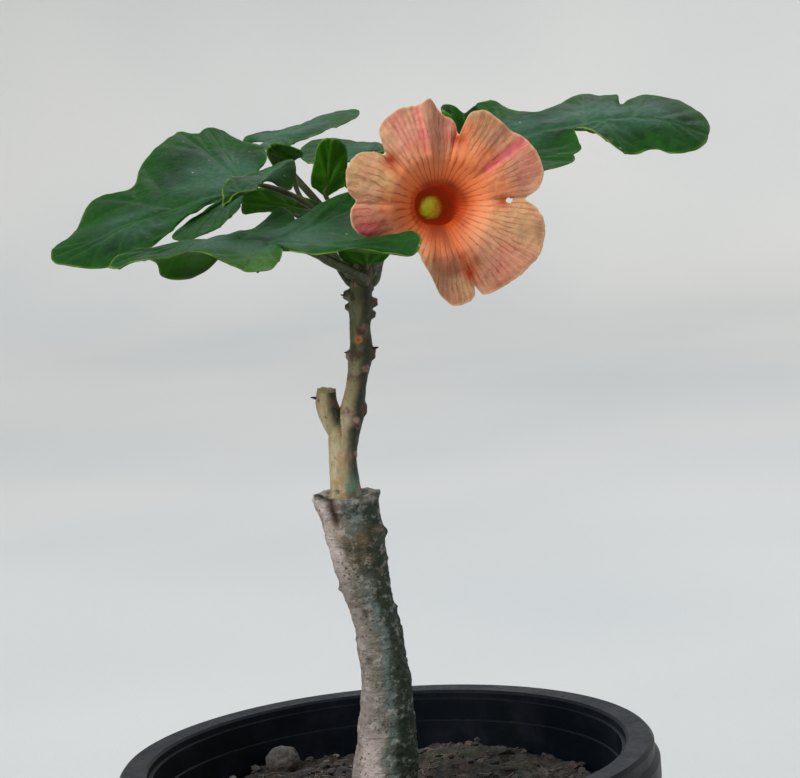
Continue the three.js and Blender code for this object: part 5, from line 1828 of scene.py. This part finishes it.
def crusted(tree: Tree, body: Socket, place: Socket, pale: Quad, dark: Quad, scale: float, much: float) -> Socket:
    """Covers bark with pale crusts and dark flecks.

    Args:
        tree: the tree to fill.
        body: the bark's colour.
        place: where the pattern is read.
        pale: colour of the crusts.
        dark: colour of the flecks.
        scale: size of the pattern, in lumps a metre.
        much: how strong the crusts are, 0 to 1.

    Returns:
        The colour.
    """
    body = tree.coat(body, pale, tree.patches((place, scale, 6, 0.68), 0.5, 0.64, 0.0, much))
    body = tree.coat(body, dark, tree.patches((place, 1.6 * scale, 5, 0.7, 0.4), 0.55, 0.68, 0.0, 0.75))
    dots = tree.ranged(tree.cells(place, 1.5 * scale), 0.12, 0.3, 1.0, 0.0)
    return tree.coat(body, dark, dots, tree.patches((place, 0.35 * scale, 2), 0.5, 0.6), 0.85)


@dataclass(frozen=True)
class BarkFinish(Surface):
    """The trunk's bark: grey-brown on its left, grey-teal in the middle, dark green on its right, crusted; the pale
    left and dark right are partly painted light and shade.

    The heights at which its colours change are in metres above the pot's underside.
    """

    rosy_lit: Quad = srgb(190, 176, 170)
    fawn: Quad = srgb(138, 128, 120)
    grey: Quad = srgb(112, 108, 96)
    teal: Quad = srgb(98, 110, 104)
    green: Quad = srgb(48, 60, 46)
    neck_shadow: Quad = srgb(70, 62, 48)
    crust: Quad = srgb(186, 182, 172)
    fleck: Quad = srgb(46, 38, 32)
    ochre: Quad = srgb(122, 98, 64)
    wood: Quad = srgb(62, 36, 22)
    cut: Quad = srgb(150, 142, 126)
    rosy_above: Pair = (0.212, 0.224)
    rosy_below: Pair = (0.16, 0.172)
    neck: float = 0.2215
    ochre_above: Pair = (0.2, 0.235)
    lip: Pair = (0.2375, 0.2395)
    fixed = {"Specular IOR Level": 0.3}

    def draw(self, tree: Tree) -> dict[str, Socket]:
        """Draws the sides, the crusts, the scars, the cut top and the cleft."""
        place = tree.place()
        height = tree.parts(place)[2]
        rough = tree.noise(place, 170.0, 5, 0.65)
        side = tree.jitter(tree.painted("side"), rough, 0.55)
        # painted light: the left side, facing the light, is pale rosy above and fawn, darker, towards the bottom
        left = tree.mix(tree.ranged(height, *self.rosy_above), self.fawn, self.rosy_lit)
        body = tree.mix(tree.ranged(side, 0.12, 0.38), left, self.grey)
        # painted light: a pale rosy band on the front left of the foot
        foot = tree.ranged(height, *self.rosy_below, 0.8, 0.0)
        body = tree.coat(body, self.rosy_lit, foot, tree.band(side, 0.28, 0.1, 0.26))
        body = tree.coat(body, self.teal, tree.ranged(side, 0.42, 0.56))
        # painted shadow: dark brown on the narrow neck below the trunk's flared top
        neck = tree.band(height, self.neck, 0.004, 0.011, 0.75)
        body = tree.coat(body, self.neck_shadow, neck, tree.ranged(side, 0.25, 0.5))
        # painted shade: dark green on the right side, partly the bark's own green
        body = tree.coat(body, self.green, tree.ranged(side, 0.58, 0.76))
        top = tree.ranged(height, *self.ochre_above)
        body = tree.coat(body, self.ochre, top, tree.patches((place, 130.0, 4), 0.45, 0.62, 0.0, 0.7))
        body = crusted(tree, body, tree.stretched(1.0, 1.0, 1.25), self.crust, self.fleck, 330.0, 0.42)
        body = tree.coat(body, self.fleck, "scar", tree.ranged(rough, 0.35, 0.55, 0.4, 0.95))
        ring = tree.noise(tree.stretched(0.25, 0.25, 3.0), 300.0, 3, 0.6)
        body = tree.coat(body, self.fleck, tree.ranged(ring, 0.6, 0.7, 0.0, 0.45))
        lip = tree.ranged(height, *self.lip)
        body = tree.coat(body, self.crust, lip, tree.patches((place, 300.0, 3), 0.35, 0.6), 0.6)
        body = tree.coat(body, tree.mix(tree.ranged(rough, 0.4, 0.62), self.cut, self.fleck), "cut")
        grain = tree.effect("grain", 900.0, 0.2 * MM)
        pits = tree.bump(tree.noise(place, 420.0, 5, 0.68), 0.8, 0.7 * MM, grain)
        return {
            "Base Color": tree.coat(body, self.wood, "wound"),
            "Roughness": tree.ranged(rough, 0.3, 0.7, 0.62, 0.85),
            "Normal": tree.bump(ring, 0.5, 0.4 * MM, pits),
        }


@dataclass(frozen=True)
class StemFinish(Surface):
    """The grafted stem: cream and khaki below, grey-green above, dark on its right, partly painted shade, with
    scars and a cut stub.

    The heights at which its colours change are in metres above the pot's underside.
    """

    cream: Quad = srgb(194, 176, 142)
    khaki: Quad = srgb(160, 148, 110)
    sage: Quad = srgb(104, 108, 72)
    shade: Quad = srgb(44, 52, 34)
    teal: Quad = srgb(96, 138, 118)
    frost: Quad = srgb(176, 196, 184)
    scar: Quad = srgb(92, 62, 46)
    scar_pale: Quad = srgb(168, 140, 124)
    cut: Quad = srgb(140, 126, 80)
    rust: Quad = srgb(172, 116, 74)
    orange: Quad = srgb(206, 132, 66)
    fleck: Quad = srgb(62, 48, 38)
    sage_above: Pair = (0.264, 0.292)
    cream_below: Pair = (0.256, 0.28)
    lit_below: Pair = (0.25, 0.262)
    teal_below: Pair = (0.242, 0.2475)
    rust_below: Pair = (0.25, 0.28)
    fixed = {"Specular IOR Level": 0.35}

    def draw(self, tree: Tree) -> dict[str, Socket]:
        """Draws the change of colour up the stem, its painted shade on the right, the scars and the flecks."""
        place = tree.place()
        height = tree.parts(place)[2]
        rough = tree.noise(place, 230.0, 5, 0.65)
        streaks = tree.noise(tree.stretched(1.0, 1.0, 0.22), 420.0, 4, 0.6)
        side = tree.jitter(tree.painted("side"), rough, 0.28)
        body = tree.mix(tree.ranged(height, *self.sage_above), self.khaki, self.sage)
        low = tree.ranged(height, *self.cream_below, 0.9, 0.3)
        body = tree.coat(body, self.cream, tree.ranged(streaks, 0.45, 0.62), low)
        # painted shade: the right side is darkened, less of it low down
        dark = tree.math("SUBTRACT", side, tree.ranged(height, *self.lit_below, 0.16, 0.0))
        body = tree.coat(body, self.shade, tree.ranged(dark, 0.32, 0.78))
        foot = tree.times(tree.ranged(height, *self.teal_below, 1.0, 0.0), tree.ranged(side, 0.42, 0.6))
        body = tree.coat(body, self.teal, foot, 0.8)
        body = tree.coat(body, self.frost, foot, tree.ranged(streaks, 0.5, 0.62), 0.7)
        low = tree.ranged(height, *self.rust_below, 0.45, 0.12)
        body = tree.coat(body, self.rust, tree.patches((place, 260.0, 3), 0.54, 0.64), low)
        body = tree.coat(body, self.fleck, tree.patches((place, 190.0, 4, 0.6, 0.5), 0.56, 0.68, 0.0, 0.75))
        worn = tree.mix(tree.ranged(rough, 0.42, 0.6), self.scar, self.scar_pale)
        body = tree.coat(body, worn, tree.ranged(tree.painted("scar"), 0.2, 0.75))
        spot = tree.jitter(tree.painted("orange"), rough, 1.4)
        body = tree.coat(body, self.orange, tree.ranged(spot, 0.2, 0.55, 0.0, 0.9))
        body = tree.coat(body, self.scar, tree.ranged(spot, 0.85, 1.05, 0.0, 0.6))
        body = tree.coat(body, self.cut, "bark")
        return {
            "Base Color": tree.coat(body, self.fleck, tree.patches((place, 900.0, 4, 0.7), 0.6, 0.7, 0.0, 0.6)),
            "Roughness": tree.ranged(rough, 0.3, 0.7, 0.5, 0.75),
            "Normal": tree.bump(rough, 0.7, 0.5 * MM, tree.effect("grain", 1200.0, 0.14 * MM)),
        }


@dataclass(frozen=True)
class PotFinish(Surface):
    """Black moulded plastic with dust on its upward faces and faint rub marks."""

    black: Quad = srgb(10, 15, 21)
    worn: Quad = srgb(27, 31, 40)
    dust: Quad = srgb(66, 64, 60)
    fixed = {"Specular IOR Level": 0.12}

    def draw(self, tree: Tree) -> dict[str, Socket]:
        """Draws the plastic, the dust and the rub marks."""
        place = tree.place()
        rough = tree.noise(place, 60.0, 6, 0.65)
        body = tree.mix(tree.ranged(rough, 0.45, 0.75, 0.0, 0.6), self.black, self.worn)
        upward = tree.ranged(tree.parts(tree.node("ShaderNodeNewGeometry").outputs["Normal"])[2], 0.5, 1.0)
        dusty = tree.times(upward, tree.patches((place, 420.0, 5, 0.7), 0.5, 0.62), 0.16)
        body = tree.coat(body, self.dust, dusty)
        rub = tree.patches((tree.stretched(1.0, 1.0, 0.08), 260.0, 3), 0.6, 0.72, 0.0, 0.25)
        return {
            "Base Color": tree.coat(body, self.worn, rub),
            "Roughness": tree.math("ADD", tree.ranged(rough, 0.3, 0.7, 0.36, 0.52), tree.times(dusty, 0.8)),
            "Normal": tree.effect("grain", 1400.0, 0.05 * MM),
        }


@dataclass(frozen=True)
class SoilFinish(Surface):
    """Dark brown earth, uneven in colour, with moss where it is painted."""

    dark: Quad = srgb(24, 20, 17)
    light: Quad = srgb(60, 51, 43)
    rust: Quad = srgb(74, 50, 38)
    grit: Quad = srgb(104, 92, 80)
    moss: Quad = srgb(58, 64, 34)
    moss_deep: Quad = srgb(28, 33, 19)

    def draw(self, tree: Tree) -> dict[str, Socket]:
        """Draws the earth, its grit and rust, and the moss."""
        place = tree.place()
        rough = tree.noise(place, 300.0, 6, 0.7)
        body = tree.mix(tree.ranged(rough, 0.42, 0.62), self.dark, self.light)
        body = tree.coat(body, self.grit, tree.patches((place, 560.0, 4, 0.7), 0.6, 0.7, 0.0, 0.6))
        body = tree.coat(body, self.rust, tree.patches((place, 700.0, 3), 0.58, 0.66, 0.0, 0.6))
        green = tree.mix(tree.ranged(rough, 0.35, 0.65), self.moss_deep, self.moss)
        return {
            "Base Color": tree.coat(body, green, "moss"),
            "Roughness": tree.ranged(rough, 0.3, 0.7, 0.8, 0.95),
            "Normal": tree.bump(tree.cells(place, 520.0), 0.8, 0.7 * MM, tree.bump(rough, 0.9, 1.2 * MM)),
        }


@dataclass(frozen=True)
class PaperFinish(Surface):
    """The backdrop: pale grey-white with the faintest unevenness."""

    light: Quad = srgb(206, 206, 204)
    shade: Quad = srgb(194, 197, 197)

    def draw(self, tree: Tree) -> dict[str, Socket]:
        """Draws the faint clouds."""
        clouds = tree.patches((tree.place(), 1.6, 2), 0.3, 0.7)
        return {
            "Base Color": tree.mix(clouds, self.light, self.shade),
            "Roughness": tree.ranged(clouds, 0.0, 1.0, 0.85, 0.95),
            "Normal": tree.effect("grain", 300.0, 0.1 * MM),
        }


class Finish(Enum):
    """The finishes of the plant and its pot."""

    LEAF = LeafFinish()
    LEAF_STALK = StalkFinish()
    PETAL = PetalFinish()
    CUP = SimpleFinish(srgb(96, 112, 62), srgb(64, 74, 48), srgb(190, 190, 150), 260.0)
    PISTIL = PistilFinish()
    BARK = BarkFinish()
    STEM = StemFinish()
    SPUR = SimpleFinish(srgb(70, 44, 30), srgb(34, 22, 18), srgb(140, 110, 80), 300.0)
    POT = PotFinish()
    SOIL = SoilFinish()
    CRUMB = SimpleFinish(srgb(48, 40, 34), srgb(25, 21, 18), srgb(92, 80, 68), 260.0, (0.8, 0.95), 0.3)
    CHIP = SimpleFinish(srgb(80, 60, 48), srgb(50, 38, 31), srgb(124, 106, 88), 240.0, (0.75, 0.9), 0.25)
    FIBRE = SimpleFinish(srgb(108, 92, 74), srgb(66, 54, 43), srgb(146, 132, 112), 300.0, (0.7, 0.9), 0.2)
    PEBBLE = SimpleFinish(srgb(82, 77, 73), srgb(50, 46, 43), srgb(116, 110, 104), 190.0, (0.7, 0.85), 0.2)

    def made(self) -> Material:
        """Returns the finish's material, built once."""
        return bpy.data.materials.get(self.name) or self.value.build(self.name)


# ---- studio


@dataclass
class Studio:
    """The pale round backdrop, the soft lights and the camera.

    Its lengths are in metres, but the camera's eye is in millimetres. Sky, sun and lamp hold colour and strength,
    and then the sun the angle it seems wide and the lamp its width.
    """

    floor: float = 2.3
    floor_rings: int = 10
    bend: float = 0.6
    bend_rings: int = 12
    wall: float = 1.3
    sides: int = 72
    sun_way: Triple = (0.72, 0.62, -0.75)
    eye: Triple = (13.3, -890.4, 401)
    dip: float = 8.36
    roll: float = -4.75
    lens: float = 136.3
    sensor: float = 36
    nearest: float = 0.05
    sky: tuple[Quad, float] = ((0.92, 0.95, 1.0, 1), 0.55)
    sun: tuple[Triple, float, float] = ((1, 0.985, 0.96), 2.3, math.radians(32))
    lamp: tuple[Triple, float, float] = ((0.84, 0.92, 1), 5, 0.8)
    lamp_place: Triple = (0.2, 0.9, 1.3)
    lamp_aim: Triple = (0, 0, 0.3)

    def backdrop(self) -> None:
        """Builds the floor that curves up into a round wall."""
        spots = [(ring * self.floor / self.floor_rings, 0.0) for ring in range(self.floor_rings + 1)]
        for ring in range(1, self.bend_rings + 1):
            turn = math.pi / 2 * ring / self.bend_rings
            spots.append((self.floor + self.bend * math.sin(turn), self.bend * (1 - math.cos(turn))))
        spots.append((self.floor + self.bend, self.wall))
        bm = turned(spots, self.sides)
        for face in bm.faces:
            middle = face.calc_center_median()
            if face.normal.dot(Vector((-middle.x, -middle.y, 1.0))) < 0:
                face.normal_flip()
        new_piece("backdrop", bm, (PaperFinish().build("backdrop paper"),))

    @staticmethod
    def placed(name: str, data: bpy.types.ID) -> Piece:
        """Returns a light or a camera as an object of the scene."""
        holder = bpy.data.objects.new(name, data)
        bpy.context.scene.collection.objects.link(holder)
        return holder

    def light(self) -> None:
        """Sets the even sky, the sun through a window and the soft square light."""
        world = bpy.data.worlds.new("soft room")
        world.use_nodes = True
        background = world.node_tree.nodes["Background"]
        background.inputs[0].default_value, background.inputs[1].default_value = self.sky
        bpy.context.scene.world = world
        sun = bpy.data.lights.new("window sun", "SUN")
        sun.color, sun.energy, sun.angle = self.sun
        holder = self.placed("window sun", sun)
        holder.rotation_euler = Vector(self.sun_way).to_track_quat("-Z", "Y").to_euler()
        lamp = bpy.data.lights.new("sky light", "AREA")
        lamp.color, lamp.energy, lamp.size = self.lamp
        holder = self.placed("sky light", lamp)
        holder.location = self.lamp_place
        way = Vector(self.lamp_aim) - Vector(self.lamp_place)
        holder.rotation_euler = way.to_track_quat("-Z", "Y").to_euler()

    def camera(self) -> None:
        """Sets the camera at the front, a little above the flower and slightly rolled."""
        data = bpy.data.cameras.new("camera")
        data.lens, data.sensor_width, data.clip_start = self.lens, self.sensor, self.nearest
        dipped = Matrix.Rotation(math.radians(90 - self.dip), 4, "X")
        rolled = Matrix.Rotation(math.radians(self.roll), 4, "Z")
        holder = self.placed("camera", data)
        holder.matrix_world = Matrix.Translation(Vector(self.eye) * MM) @ (dipped @ rolled)
        bpy.context.scene.camera = holder

    def build(self) -> None:
        """Builds the backdrop, the lights and the camera."""
        self.backdrop()
        self.light()
        self.camera()
        bpy.context.scene.view_settings.view_transform = "Standard"


def main() -> None:
    """Builds the plant, its pot and the studio."""
    logging.basicConfig(level=logging.INFO, format="%(message)s")
    pot, pebble = Pot(), Pebble()
    pot.build(Finish.POT.made())
    soil = Soil(pot, pebble)
    soil.build(Finish.SOIL.made())
    soil.litter((Finish.CRUMB.made(), Finish.CHIP.made(), Finish.FIBRE.made()))
    pebble.build(Finish.PEBBLE.made())
    Rootstock().build(Finish.BARK.made())
    GraftedStem().build((Finish.STEM.made(), Finish.SPUR.made()))
    for shape in LEAVES:
        Leaf(shape).build(Finish.LEAF.made(), Finish.LEAF_STALK.made())
    flower = Flower()
    flower.corolla(Finish.PETAL.made())
    flower.cup(Finish.CUP.made())
    flower.pistil(Finish.PISTIL.made())
    Studio().build()
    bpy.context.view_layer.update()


if __name__ == "__main__":
    main()
